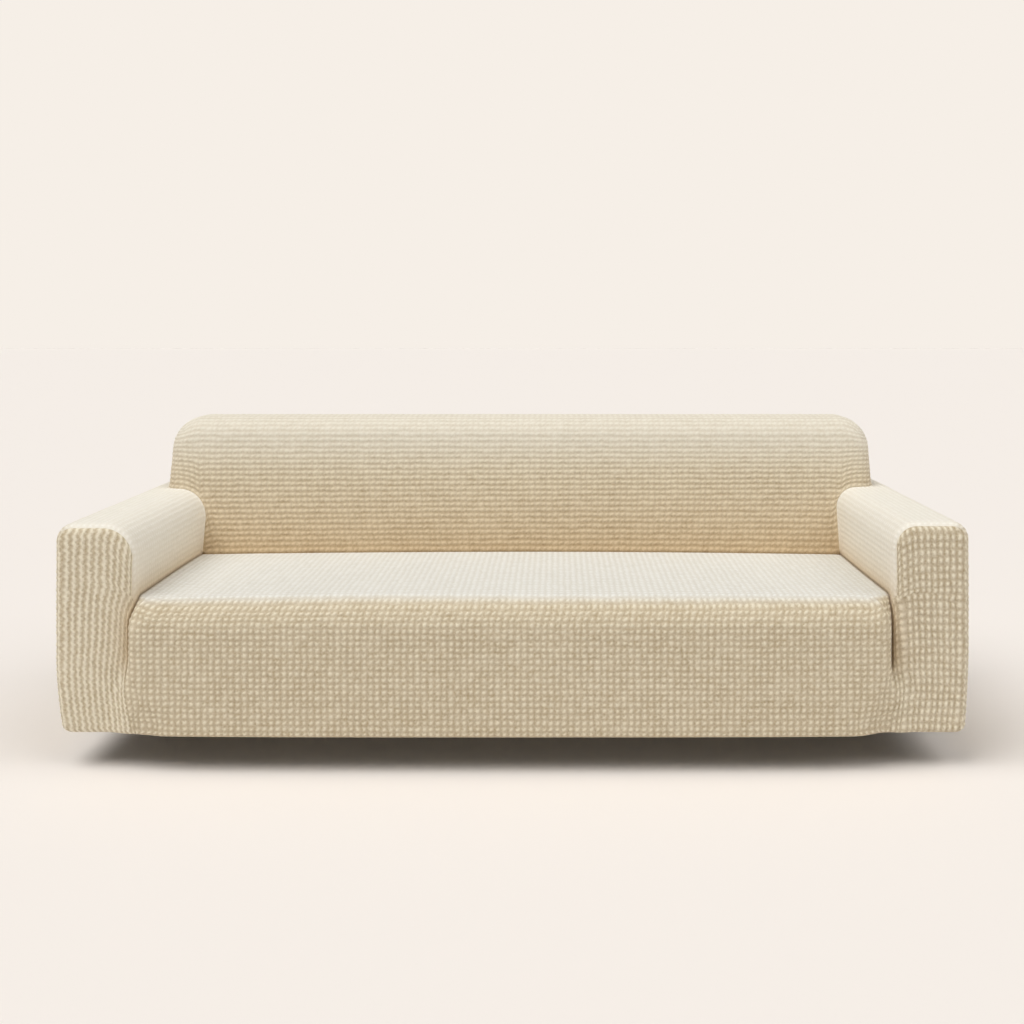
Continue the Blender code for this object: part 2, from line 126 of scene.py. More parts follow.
# Grooves where the cover is pushed down around the seat: depth, width, and the heights where they fade out; the
# dark values set how much painted shade colours each groove's fold
creases = {
    "left": {
        "depth": 0.0050, "frontDepth": 0.0050, "dark": 0.45, "frontDark": 0.50,
        "width": 0.0050, "fadeLow": 0.12, "fadeHigh": 0.32,
    },
    "right": {
        "depth": 0.0050, "frontDepth": 0.0052, "dark": 0.45, "frontDark": 0.42,
        "width": 0.0048, "fadeLow": 0.150, "fadeHigh": 0.172,
    },
    "back": {"depth": 0.0038, "dark": 0.10, "width": 0.0050},
    "reach": 0.012,  # how close to the seat a groove has to be
    "frontStart": 0.020,  # the front values begin this far behind the arm fronts and are full after frontRun
    "frontRun": 0.030,
}


# Body under the cloth. Each rule is a distance: below zero inside, zero on the surface.

def ease(t):
    t = np.clip(t, 0.0, 1.0)
    return t * t * (3.0 - 2.0 * t)


def joined(a, b, radius):
    # the nearer of two rules, with a hollow fillet of this radius in their valley
    fillet = np.hypot(np.maximum(radius - a, 0.0), np.maximum(radius - b, 0.0))
    return np.maximum(radius, np.minimum(a, b)) - fillet


def trimmed(a, b, radius):
    # the further of two rules, with their shared edge rounded to this radius
    edge = np.hypot(np.maximum(radius + a, 0.0), np.maximum(radius + b, 0.0))
    return np.minimum(-radius, np.maximum(a, b)) + edge


def tuckIn(z, depth, height):
    # the elastic hem draws a wall in by depth, fading to nothing at height
    return depth * np.clip(1.0 - z / height, 0.0, 1.0) ** cover["tuckCurve"]


def apronY(x):
    return seat["frontY"] + seat["bow"] * (x / cover["halfWidth"]) ** 4


def seatBody(p):
    x, y, z = p[..., 0], p[..., 1], p[..., 2]
    fall = 1.0 - seat["crownFall"] * ease(y / seat["crownFallY"])
    crown = seat["crown"] * (1.0 - (x / cover["halfWidth"]) ** 2) * fall
    swell = seat["swell"] * np.sin(5.1 * x + 0.7) * np.sin(7.0 * y + 1.9)  # long uneven waves
    top = z - (seat["sideZ"] + crown + swell)
    front = apronY(x) + tuckIn(z, seat["tuck"], seat["tuckZ"]) - y
    hidden = seat["hiddenReach"] * ease((y - cover["armFrontY"]) / seat["hiddenDepth"])
    leftSide = -x - (arms["left"]["apronX"] + hidden)
    rightSide = x - (arms["right"]["apronX"] + hidden)
    edgeRadius = seat["edgeRadius"] + seat["edgeGrowth"] * ease(1.0 - z / seat["edgeGrowthZ"])
    body = trimmed(trimmed(front, leftSide, edgeRadius), rightSide, edgeRadius)
    nearFront = ease(1.0 - (y - seat["frontY"]) / seat["roundDepth"])
    topRadius = seat["sideRadius"] + (seat["frontRadius"] - seat["sideRadius"]) * nearFront
    return trimmed(body, top, topRadius)


def armBlock(p, arm):
    z, out = p[..., 2], p[..., 0] * arm["side"]
    outer = out - (cover["halfWidth"] - tuckIn(z, arm["tuck"], arm["tuckZ"]))
    body = trimmed(outer, z - arm["topZ"], cover["armOuterRadius"])
    return trimmed(body, arm["innerX"] - out, arm["innerRadius"])


def armFace(p):
    return cover["armFrontY"] - p[..., 1]


def armBody(p, arm):
    return trimmed(armBlock(p, arm), armFace(p), cover["armFrontRadius"])


def backBody(p):
    x, y, z = p[..., 0], p[..., 1], p[..., 2]
    outline = z - back["topZ"]
    for side in (-1, 1):
        outline = trimmed(outline, side * x - back["halfWidth"], back["cornerRadius"])
    face = (faceY(z) - y) / math.hypot(1.0, back["lean"])
    return trimmed(outline, face, back["frontRadius"])


def faceY(z):
    return back["faceY"] + back["lean"] * (z - seat["sideZ"])


def rearFace(p):
    return p[..., 1] - cover["rearY"]


def wholeBody(p):
    # seat, both arms and back run together; the arm valleys widen towards the hem
    z = p[..., 2]
    body = seatBody(p)
    for arm in arms.values():
        bridge = ease((arm["bridgeHigh"] - z) / (arm["bridgeHigh"] - arm["bridgeLow"]))
        valley = arm["valley"] + (cover["hemValley"] - arm["valley"]) * bridge
        body = joined(body, armBody(p, arm), valley)
    return joined(body, backBody(p), back["valley"])


def closedBody(p):
    return trimmed(wholeBody(p), rearFace(p), cover["rearRadius"])


def coverBody(p):
    return trimmed(closedBody(p), -p[..., 2], cover["hemRadius"])


# Seam rules: each is zero where two panels meet

def hemOpening(p):
    return closedBody(p) + cover["hemTurn"]


def rearSeam(p):
    return wholeBody(p) - rearFace(p)


def seatBackSeam(p):
    return seatBody(p) - backBody(p)


def creaseSeam(arm):
    return lambda p: seatBody(p) - armBody(p, arm)


def edgeSeam(arm):
    return lambda p: armBlock(p, arm) - armFace(p)


def armBackSeam(arm):
    return lambda p: armBody(p, arm) - backBody(p)


# Laying points on the body

def slope(rule, p, here=None):
    # how fast the rule grows along x, y and z: from its value here,
    # or else from both sides, which is steadier in a valley
    if here is None:
        h = settling["wideStep"]
        return np.stack([(rule(p + step) - rule(p - step)) / (2.0 * h) for step in np.eye(3) * h], axis=-1)
    h = settling["step"]
    return np.stack([(rule(p + step) - here) / h for step in np.eye(3) * h], axis=-1)


def outward(p):
    g = slope(coverBody, p, coverBody(p))
    return g / np.linalg.norm(g, axis=-1, keepdims=True)


def settle(p, rules, rounds=settling["rounds"]):
    # Newton steps down each rule's slope in turn, none too long; seam lines have two rules or more
    p = np.array(p, dtype=float)
    for _ in range(rounds):
        for rule in rules:
            here = rule(p)
            g = slope(rule, p, here if len(rules) == 1 else None)
            shift = (here / np.maximum((g * g).sum(-1), 1e-6))[..., None] * g
            reach = np.linalg.norm(shift, axis=-1, keepdims=True)
            p = p - shift * np.minimum(1.0, settling["longest"] / np.maximum(reach, 1e-9))
    return p


def onBody(p, rounds=15):
    return settle(p, [coverBody], rounds)


def layLine(points, rule, first=None, last=None):
    points = settle(points, [rule, coverBody])
    if first is not None:
        points[0] = settle(points[0], [first, rule, coverBody], settling["endRounds"])
    if last is not None:
        points[-1] = settle(points[-1], [last, rule, coverBody], settling["endRounds"])
    return points


def relay(points, rule, rounds=10):
    # a fine line settled back on its seam, its two end points kept
    laid = settle(points, [rule, coverBody], rounds)
    laid[0], laid[-1] = points[0], points[-1]
    return laid


firstRow, lastRow, firstColumn, lastColumn = np.s_[0], np.s_[-1], np.s_[:, 0], np.s_[:, -1]


def sew(grid, edges):
    # pairs of an edge of a fine grid and its seam's rule
    for edge, rule in edges:
        grid[edge] = relay(grid[edge], rule)


def line(start, end, count, grade=0.0):
    t = np.linspace(0.0, 1.0, count + 1)
    t = t - grade * np.sin(2.0 * np.pi * t) / (2.0 * np.pi)
    return np.asarray(start) + t[:, None] * (np.asarray(end) - np.asarray(start))


def bend(start, corner, end, count):
    # quadratic curve from start to end, pulled towards corner
    t = np.linspace(0.0, 1.0, count + 1)[:, None]
    start, corner, end = np.asarray(start), np.asarray(corner), np.asarray(end)
    return (1 - t) ** 2 * start + 2 * t * (1 - t) * corner + t ** 2 * end


def chain(*runs):
    return np.concatenate([runs[0]] + [run[1:] for run in runs[1:]])


def patch(first, last, left, right):
    # grid between four edge lines: the two straight blends added, less the blend of the corners
    s = np.linspace(0.0, 1.0, len(left))[:, None, None]
    t = np.linspace(0.0, 1.0, len(first))[None, :, None]
    across = (1 - t) * left[:, None] + t * right[:, None]
    along = (1 - s) * first[None] + s * last[None]
    ends = (1 - s) * ((1 - t) * first[0] + t * first[-1]) + s * ((1 - t) * last[0] + t * last[-1])
    return across + along - ends


def smoothThrough(points, knots, at):
    # cubic through the points along the first axis;
    # each slope is the mean of its two chords, the nearer weighing more
    shape = (-1,) + (1,) * (points.ndim - 1)
    gap = np.diff(knots).reshape(shape)
    chord = np.diff(points, axis=0) / gap
    slopes = np.empty_like(points)
    slopes[1:-1] = (chord[:-1] * gap[1:] + chord[1:] * gap[:-1]) / (gap[1:] + gap[:-1])
    slopes[0], slopes[-1] = chord[0], chord[-1]
    k = np.clip(np.searchsorted(knots, at, side="right") - 1, 0, len(knots) - 2)
    size = gap[k]
    t = ((at - knots[k]) / np.diff(knots)[k]).reshape(shape)
    a, b, m, n = points[k], points[k + 1], slopes[k] * size, slopes[k + 1] * size
    return a + t * m + t ** 2 * (3 * (b - a) - 2 * m - n) + t ** 3 * (2 * (a - b) + m + n)


def lengthAlong(grid):
    # mean distance from the first row to each row
    steps = np.linalg.norm(np.diff(grid, axis=0), axis=-1)
    steps = steps if steps.ndim == 1 else steps.mean(axis=1)
    return np.concatenate([[0.0], np.cumsum(steps)])


def marks(knots, breaks, puffs, cells):
    # where fine rows fall: each stretch between two breaks holds its own whole number of puffs
    ends = knots[list(breaks)]
    runs = [np.linspace(a, b, n * cells + 1)[:-1] for a, b, n in zip(ends[:-1], ends[1:], puffs)]
    return np.concatenate(runs + [ends[-1:]])


def evenMarks(knots, puffs, cells):
    return marks(knots, (0, len(knots) - 1), (puffs,), cells)


def refine(grid, rowKnots, rowAt, columnKnots, columnAt):
    tall = smoothThrough(grid, rowKnots, rowAt)
    fine = smoothThrough(tall.swapaxes(0, 1), columnKnots, columnAt).swapaxes(0, 1)
    return onBody(fine, settling["fineRounds"])


def shareAlong(values):
    # 0 at the first value, 1 at the last
    return (values - values[0]) / (values[-1] - values[0])


def across(grid):
    return lengthAlong(grid.swapaxes(0, 1))


def puffCount(length, size):
    return max(1, int(round(length / size)))


# Seam lines of an arm

def creaseGuide(arm, meet):
    side, edge = arm["side"], arm["apronX"]
    wall, z = arm["innerX"] - guide["creaseIn"], seat["sideZ"] + guide["creaseUp"]
    y, lowY = cover["armFrontY"] - guide["creaseOut"], cover["armFrontY"] - guide["creaseFoot"]
    radius, turn = cover["hemRadius"], cover["hemTurn"]
    start, end = (side * wall, back["faceY"], z), (side * wall, meet[1] + guide["shortRow"], z)
    top = line(start, end, guide["seatRows"] - 1, guide["creaseGrade"])
    pull, low = (side * edge, y, meet[2] - guide["cornerPull"]), (side * edge, y, meet[2] - guide["cornerTall"])
    corner = bend(meet, pull, low, guide["creaseCornerRows"])
    down = line(corner[-1], (side * edge, lowY, radius), guide["apronRows"])
    under = bend(down[-1], (side * edge, lowY, 0.0), (side * edge, lowY + radius, 0.0), guide["hemRows"])
    turned = line(under[-1], (side * edge, lowY + turn, 0.0), 1)
    return np.concatenate([top, chain(corner, down, under, turned)])


def edgeGuide(arm, start, heights):
    side, topZ = arm["side"], arm["topZ"]
    y = cover["armFrontY"] + guide["edgeShare"] * cover["armFrontRadius"]
    inner, radius, halfWidth = arm["innerX"], arm["innerRadius"], cover["halfWidth"]
    first = (side * inner, y, start[2] + guide["shortRow"])
    rise = chain(np.array((start, first)), line(first, (side * inner, y, topZ - radius), guide["armRise"] - 1))
    over = bend(rise[-1], (side * inner, y, topZ), (side * (inner + radius), y, topZ), guide["armCorner"])
    top = line(over[-1], (side * (halfWidth - cover["armOuterRadius"]), y, topZ), guide["armTop"])
    low = topZ - cover["armOuterRadius"]
    edge = bend(top[-1], (side * halfWidth, y, topZ), (side * halfWidth, y, low), guide["armEdge"])
    z = heights[::-1][1:]
    walls = halfWidth - tuckIn(z, arm["tuck"], arm["tuckZ"])
    down = np.stack([side * walls, np.full_like(z, y), z], axis=-1)
    wall, radius, turn = walls[-1], cover["hemRadius"], cover["hemTurn"]
    under = bend(down[-1], (side * wall, y, 0.0), (side * (wall - radius), y + radius, 0.0), guide["hemRows"])
    turned = line(under[-1], (side * (wall - turn), cover["armFrontY"] + turn, 0.0), 1)
    return chain(rise, over, top, edge, np.concatenate([edge[-1:], down]), under, turned)


def backGuide(arm):
    side, topZ, radius = arm["side"], arm["topZ"], arm["innerRadius"]
    nudge, turn = guide["backNudge"], guide["backTurn"]
    inner, outer, above = arm["innerX"] - nudge, back["halfWidth"] + nudge, topZ + nudge
    z = np.linspace(seat["sideZ"] + nudge, topZ - radius, guide["armRise"] + 1)
    rise = np.stack([np.full_like(z, side * inner), faceY(z) - nudge, z], axis=-1)
    y = faceY(topZ) - nudge
    over = bend(rise[-1], (side * inner, y, topZ), (side * (inner + radius), y, topZ), guide["armCorner"])
    front = (side * outer, y + back["frontRadius"], above)
    rear = (side * outer, cover["rearY"] - guide["rearNudge"], above)
    corner = line(over[-1], (side * (back["halfWidth"] - turn), y + turn, above), 1)
    return chain(rise, over, corner, line(corner[-1], front, 1), line(front, rear, guide["backSide"] - 1))


def armSeams(arm):
    meet = guide["seatRows"]
    cornerLevel = seat["sideZ"] - guide["creaseDrop"]
    start = np.array((arm["side"] * arm["innerX"], cover["armFrontY"], seat["sideZ"]))
    rules = [lambda p: p[..., 2] - cornerLevel, creaseSeam(arm), coverBody]
    cornerPoint = settle(start, rules, settling["endRounds"])
    rawCrease = creaseGuide(arm, cornerPoint)
    crease = layLine(rawCrease, creaseSeam(arm), seatBackSeam, hemOpening)
    crease[meet] = cornerPoint
    topZ, radius, low = arm["topZ"], arm["innerRadius"], cover["hemRadius"]
    hemRow = len(crease) - 2 - guide["hemRows"]
    shoulder = topZ - radius * (1.0 - math.sqrt(0.5))
    rise = np.linspace(crease[meet, 2] + guide["shortRow"], topZ - radius, guide["armRise"])
    over = np.linspace(topZ - radius, shoulder, guide["armCorner"] // 2 + 1)[1:]
    innerZ = np.concatenate([crease[meet:hemRow + 1, 2][::-1], rise, over])
    level = low + shareAlong(innerZ) * (topZ - cover["armOuterRadius"] - low)
    count = len(level) - guide["armEdge"] // 2
    heights = np.interp(np.linspace(0, 1, count), np.linspace(0, 1, len(level)), level)
    rawEdge = edgeGuide(arm, crease[meet], heights)
    edge = layLine(rawEdge, edgeSeam(arm), None, hemOpening)
    edge[0] = crease[meet]
    behind = layLine(backGuide(arm), armBackSeam(arm), seatBackSeam, rearSeam)
    crease[0] = behind[0]
    corner = guide["armRise"] + guide["armCorner"] + 1
    rawRear = rawEdge[corner:].copy()
    rawRear[:, 1] = cover["rearY"] - (rawRear[:, 1] - cover["armFrontY"])
    rear = layLine(rawRear, rearSeam, None, hemOpening)
    rear[0] = behind[-1]
    return {
        "rawCrease": rawCrease, "crease": crease, "rawEdge": rawEdge, "edge": edge,
        "back": behind, "rear": rear, "meet": meet, "corner": corner,
    }


# Puffs of the knit, raised from the body along its slope

def puffShape(u, v, style):
    # a pillow in each square of the knit: one less each side's power, fuller along one diagonal;
    # columns and rows say how deep the valleys are, wave sways the columns
    a = 2.0 * ((u + style["wave"] * np.sin(2.0 * np.pi * v)) % 1.0) - 1.0
    b = 2.0 * (v % 1.0) - 1.0
    acrossValley, alongValley = (np.abs(way) ** knit["valleyPower"] for way in (a, b))
    pillow = (1.0 - style["columns"] * acrossValley) * (1.0 - style["rows"] * alongValley)
    lean = np.exp(-((a - style["slant"] * b) / knit["leanWidth"]) ** 2)
    return pillow * (1.0 - style["leaning"] + style["leaning"] * lean)


def scatter(i, j, salt):
    # a steady number from 0 to 1 for each puff: the last digits of a tall sine
    wave = np.sin(i * 12.9898 + j * 78.233 + salt * 37.719 + knit["seed"]) * 43758.5453
    return wave - np.floor(wave)


def strayed(u, v, salt):
    # smooth unevenness from -0.5 to 0.5: the scatter at a puff's four corners, blended
    i, j = np.floor(u), np.floor(v)
    s, t = ease(u - i), ease(v - j)
    low = scatter(i, j, salt) * (1 - s) + scatter(i + 1, j, salt) * s
    high = scatter(i, j + 1, salt) * (1 - s) + scatter(i + 1, j + 1, salt) * s
    return low * (1 - t) + high * t - 0.5


def creased(p):
    # groove depth, and how much painted shade darkens its fold: full where the seat's rule equals the arm's or
    # the back's
    below = seatBody(p)
    near = np.exp(-(np.maximum(below, 0.0) / creases["reach"]) ** 2)
    front = ease((cover["armFrontY"] + creases["frontStart"] - p[..., 1]) / creases["frontRun"])
    depth = shade = 0.0
    for name, arm in arms.items():
        crease = creases[name]
        fade = ease((p[..., 2] - crease["fadeLow"]) / (crease["fadeHigh"] - crease["fadeLow"]))
        foldShade = fade * near * np.exp(-((below - armBody(p, arm)) / crease["width"]) ** 2)
        depth = depth + foldShade * (crease["depth"] + (crease["frontDepth"] - crease["depth"]) * front)
        shade = shade + foldShade * (crease["dark"] + (crease["frontDark"] - crease["dark"]) * front)
    crease = creases["back"]
    foldShade = near * np.exp(-((below - backBody(p)) / crease["width"]) ** 2)
    return depth + crease["depth"] * foldShade, np.minimum(shade + crease["dark"] * foldShade, 1.0)


def raised(points, u, v, height, rim, style):
    # height: how far a puff stands out; rim: 0 on a sewn edge, 1 from part of a puff inside it
    uneven = 1.0 + knit["uneven"] * (scatter(np.floor(u), np.floor(v), 1) - 0.5)
    uneven = uneven + knit["uneven"] * strayed(u * knit["patchAcross"], v * knit["patchAlong"], 2)
    lift = height * puffShape(u, v, style) * uneven * rim - knit["seamSink"] * (1.0 - rim)
    return points + (lift - creased(points)[0])[..., None] * outward(points)


def loosened(grid, u, v, rim):
    # the knit's lines stray a little, along the cloth
    alongU = np.gradient(grid, axis=1) / np.gradient(u, axis=1)[..., None]
    alongV = np.gradient(grid, axis=0) / np.gradient(v, axis=0)[..., None]
    du, dv = (knit["jitter"] * rim * strayed(u, v, salt) for salt in (3, 4))
    return grid + du[..., None] * alongU + dv[..., None] * alongV


def rimShare(u, v, uEnds, vEnds, width=knit["rimWidth"]):
    # distance in puffs to the nearest sewn edge, eased from 0 to 1 over part of a puff
    near = np.full((len(v), len(u)), np.inf)
    for at, ends in ((u[None, :], uEnds), (v[:, None], vEnds)):
        for end in ends:
            near = np.minimum(near, np.abs(at - end))
    return ease(near / width)


sharpAngle = 62.0


def fillMesh(name, points, groups, puffs, tints):
    # tints: for each point, how much the cloth is painted paler as if lit where it is stretched flat, how much
    # painted shade it takes towards the seat, and how much painted shade darkens a crease's fold; the materials
    # read them
    mesh = bpy.data.meshes.new(name)
    corners = np.concatenate([group.ravel() for group in groups])
    sizes = np.concatenate([np.full(len(group), group.shape[1]) for group in groups])
    starts = np.concatenate([[0], np.cumsum(sizes)[:-1]])
    mesh.vertices.add(len(points))
    mesh.vertices.foreach_set("co", points.ravel())
    mesh.loops.add(len(corners))
    mesh.loops.foreach_set("vertex_index", corners.astype(np.int32))
    mesh.polygons.add(len(sizes))
    mesh.polygons.foreach_set("loop_start", starts.astype(np.int32))
    mesh.update(calc_edges=True)
    layer = mesh.uv_layers.new(name="puffs")
    layer.data.foreach_set("uv", puffs[corners].ravel().astype(np.float32))
    tint = mesh.attributes.new("tint", "FLOAT_VECTOR", "POINT")
    tint.data.foreach_set("vector", tints.ravel().astype(np.float32))
    mesh.validate()
    mesh.shade_smooth()
    mesh.set_sharp_from_angle(angle=math.radians(sharpAngle))
    return mesh


def addPiece(name, mesh):
    piece = bpy.data.objects.new(name, mesh)
    bpy.context.collection.objects.link(piece)
    return piece


def addPanel(name, mesh):
    print(name, "has", sum(len(p.vertices) - 2 for p in mesh.polygons), "triangles")
    return addPiece(name, mesh)


def quads(index):
    # the squares between the points of a grid
    return np.stack([index[:-1, :-1], index[:-1, 1:], index[1:, 1:], index[1:, :-1]], -1).reshape(-1, 4)


def sidesOf(faces):
    return np.stack([faces, np.roll(faces, -1, axis=1)], -1).reshape(-1, 2)


def fused(points, digits):
    # the first of each set of points that are the same to this many digits, and where each point went
    _, first, merged = np.unique(np.round(points, digits), axis=0, return_index=True, return_inverse=True)
    return first, merged.ravel()


def pairKeys(pairs, count):
    # one number for each pair of points, whichever comes first
    return pairs.min(axis=-1) * count + pairs.max(axis=-1)


def usedOnce(keys):
    # which of these pairs belongs to one face only
    _, place, uses = np.unique(keys, return_inverse=True, return_counts=True)
    return uses[place.ravel()] == 1


facingSample = 40  # this many faces on either side of a block's middle show which way the block looks


def closedCloth(name, blocks):
    # blocks: dictionaries of flat and puffed grids, their puff numbers and tints,
    # and the cells in a puff across and along
    flat, puffed, tints = (
        np.concatenate([b[key].reshape(-1, 3) for b in blocks]) for key in ("flat", "puffed", "tints")
    )
    uv = np.concatenate([np.stack([b["u"], b["v"]], -1).reshape(-1, 2) for b in blocks])
    first, merged = fused(flat, 6)
    start, total = 0, len(first)
    fine, coarse, runs = [], [], []
    for block in blocks:
        rows, columns = block["u"].shape
        ids = merged[start:start + rows * columns].reshape(rows, columns)
        start += rows * columns
        nu, nv = block["cells"]
        faces = quads(ids)
        middle = len(faces) // 2
        corner = flat[first][faces[middle - facingSample:middle + facingSample]]
        normal = np.cross(corner[:, 2] - corner[:, 0], corner[:, 3] - corner[:, 1])
        wrong = (normal * outward(corner[:, 0])).sum() < 0  # the block's faces look inwards
        sides = [(ids[0], nu), (ids[:, -1], nv), (ids[-1, ::-1], nu), (ids[::-1, 0], nv)]
        low = quads(ids[::nv, ::nu])
        if wrong:
            faces, low = faces[:, ::-1], low[:, ::-1]
            sides = [(side[::-1], n) for side, n in sides]
        fine.append(faces)
        coarse.append(low)
        for side, n in sides:
            starts = np.arange(0, len(side) - 1, n)
            runs.append(side[starts[:, None] + np.arange(n + 1)[None]])
    lowFaces = np.concatenate(coarse)
    keys = pairKeys(sidesOf(lowFaces), total)
    border = keys[usedOnce(keys)]
    points = flat[first]
    inner = points - (cover["thickness"] + creased(points)[0])[:, None] * outward(points)
    used, innerIds = np.unique(lowFaces, return_inverse=True)
    innerFaces = innerIds.reshape(lowFaces.shape)[:, ::-1] + total
    place = np.full(total, -1)
    place[used] = np.arange(len(used)) + total
    rims = {}
    for run in runs:
        run = run[np.isin(pairKeys(run[:, [0, -1]], total), border)]
        rim = np.concatenate([run[:, ::-1], place[run[:, :1]], place[run[:, -1:]]], axis=1)
        rims.setdefault(rim.shape[1], []).append(rim)
    vertices = np.concatenate([puffed[first], inner[used]])
    puffs = np.concatenate([uv[first], uv[first][used]])
    tints = np.concatenate([tints[first], tints[first][used]])
    groups = fine + [innerFaces] + [np.concatenate(rim) for rim in rims.values()]
    return addPanel(name, fillMesh(name, vertices, groups, puffs, tints))


def rowsOf(count, cells, start=0.0):
    # puff numbers of this many fine lines
    return start + np.arange(count) / cells


def ringsOf(puffs, cells):
    # as rowsOf, from one fine line past zero to a whole number of puffs
    return rowsOf(puffs * cells, cells) + 1.0 / cells


def block(flat, u, v, panelKnit, flatAndLit, rim, plain=1.0, paintedShade=0.0):
    # flat share: 0 where the puffs stand full, 1 where the cloth is stretched flat and painted paler as if lit;
    # plain: 0 on the bare hem band;
    # shade share: how much painted shade darkens and warms the cloth towards the seat
    u, v = np.broadcast_arrays(u[None, :], v[:, None])
    flatAndLit = np.broadcast_to(flatAndLit, u.shape)
    height = panelKnit["height"] + (panelKnit["calmHeight"] - panelKnit["height"]) * flatAndLit
    laid = loosened(flat, u, v, rim * plain)
    puffed = raised(laid, u, v, height * plain, rim, panelKnit["style"])
    tints = np.stack([flatAndLit, np.broadcast_to(paintedShade, u.shape), creased(flat)[1]], axis=-1)
    return {"flat": flat, "u": u, "v": v, "tints": tints, "cells": panelKnit["cells"], "puffed": puffed}


def hemFade(p):
    # the hem is a plain band
    return ease((p[..., 2] - knit["bandZ"]) / knit["bandFade"])


def shadeNearSeat(p, seatShade):
    # painted shade close to the seat, gone below a height
    reach, low = seatShade
    return np.exp(-np.maximum(seatBody(p), 0.0) / reach) * ease((p[..., 2] - low) / knit["seatShadeFade"])


seatKnit = {
    "cells": (3, 4), "height": 0.0027, "calmHeight": 0.0013, "deepPuff": 0.0185,
    "flatLitFrom": 0.62,  # cloth that faces up more than this is stretched flatter and painted paler as if lit from above
    "style": {"columns": 1.0, "rows": 0.85, "slant": -1.0, "leaning": 0.45, "wave": 0.0},
}


def seatFrontBlocks(left, right):
    meet, rows = left["meet"], len(left["crease"])
    t = np.linspace(-1.0, 1.0, guide["seatColumns"] + 1)
    t = (1.0 - guide["seatBend"]) * t + guide["seatBend"] * np.sin(0.5 * np.pi * t)
    share = (t + 1.0)[None, :, None] / 2.0
    grid = (1.0 - share) * left["rawCrease"][:, None] + share * right["rawCrease"][:, None]
    forward = ease((np.arange(rows) - meet) / guide["apronRun"] + 1.0)[:, None]
    inside = ease((1.0 - np.abs(t)) * cover["halfWidth"] / guide["apronSide"])[None, :]
    grid[..., 1] += forward * inside * (apronY(grid[..., 0]) - cover["armFrontY"] - guide["apronOut"])
    grid = onBody(grid)
    grid[0] = layLine(grid[0] + np.array((0.0, 0.0, guide["seatLift"])), seatBackSeam)
    grid[-1] = settle(grid[-1], [hemOpening, coverBody])
    grid[:, 0], grid[:, -1] = left["crease"], right["crease"]

    nu, nv = seatKnit["cells"]
    rowKnots, columnKnots = lengthAlong(grid), across(grid)
    deep = puffCount(rowKnots[meet], seatKnit["deepPuff"])
    tall = puffCount(rowKnots[-1] - rowKnots[meet], knit["puffHeight"])
    wide = puffCount(grid[meet, -1, 0] - grid[meet, 0, 0], knit["puffWidth"])
    rowAt = marks(rowKnots, (0, meet, rows - 1), (deep, tall), nv)
    fine = refine(grid, rowKnots, rowAt, columnKnots, evenMarks(columnKnots, wide, nu))
    sew(fine, [(firstRow, seatBackSeam), (lastRow, hemOpening)])
    for side, arm, seams in ((0, arms["left"], left), (-1, arms["right"], right)):
        fine[:, side] = relay(smoothThrough(seams["crease"], rowKnots, rowAt), creaseSeam(arm))
    u, v = rowsOf(fine.shape[1], nu), rowsOf(fine.shape[0], nv)
    rim = rimShare(u, v, (0, wide), (0,))
    # cloth facing up is stretched flatter and painted paler as if lit from above
    flatAndLit = ease((outward(fine)[..., 2] - seatKnit["flatLitFrom"]) / (1.0 - seatKnit["flatLitFrom"]))
    return grid, [block(fine, u, v, seatKnit, flatAndLit, rim, hemFade(fine))]


backKnit = {
    "cells": (4, 4), "height": 0.0022, "calmHeight": 0.0012, "puffWidth": 0.0168, "puffHeight": 0.0164,
    # towards its top the back is painted paler as if lit; towards the seat it gets darker, warmer painted shade
    "flatAndLit": 0.65, "flatLitLow": 0.54, "flatLitRise": 0.17,
    "paintedShade": 1.05, "shadeTop": 0.73, "shadeDrop": 0.38, "shadeCurve": 1.8,
    # rings round the edge: how far along the cloth each lies, how far out, and how far behind the face
    "edgePuffs": 7, "depthPuffs": 9, "edgeRun": 0.1186, "depthRun": 0.184,
    "ringAlong": (0.0, 0.030, 0.055, 0.0824, 0.1186),
    "ringOut": (0.0, 0.030, 0.055, 0.078, 0.089, 0.090),
    "ringBehind": (0.0, 0.0, 0.002, 0.016, 0.050, 0.050),
    "roundFrom": 0.02, "roundRun": 0.07,
    "style": {"columns": 0.4, "rows": 1.0, "slant": 1.0, "leaning": 0.25, "wave": 0.0},
}


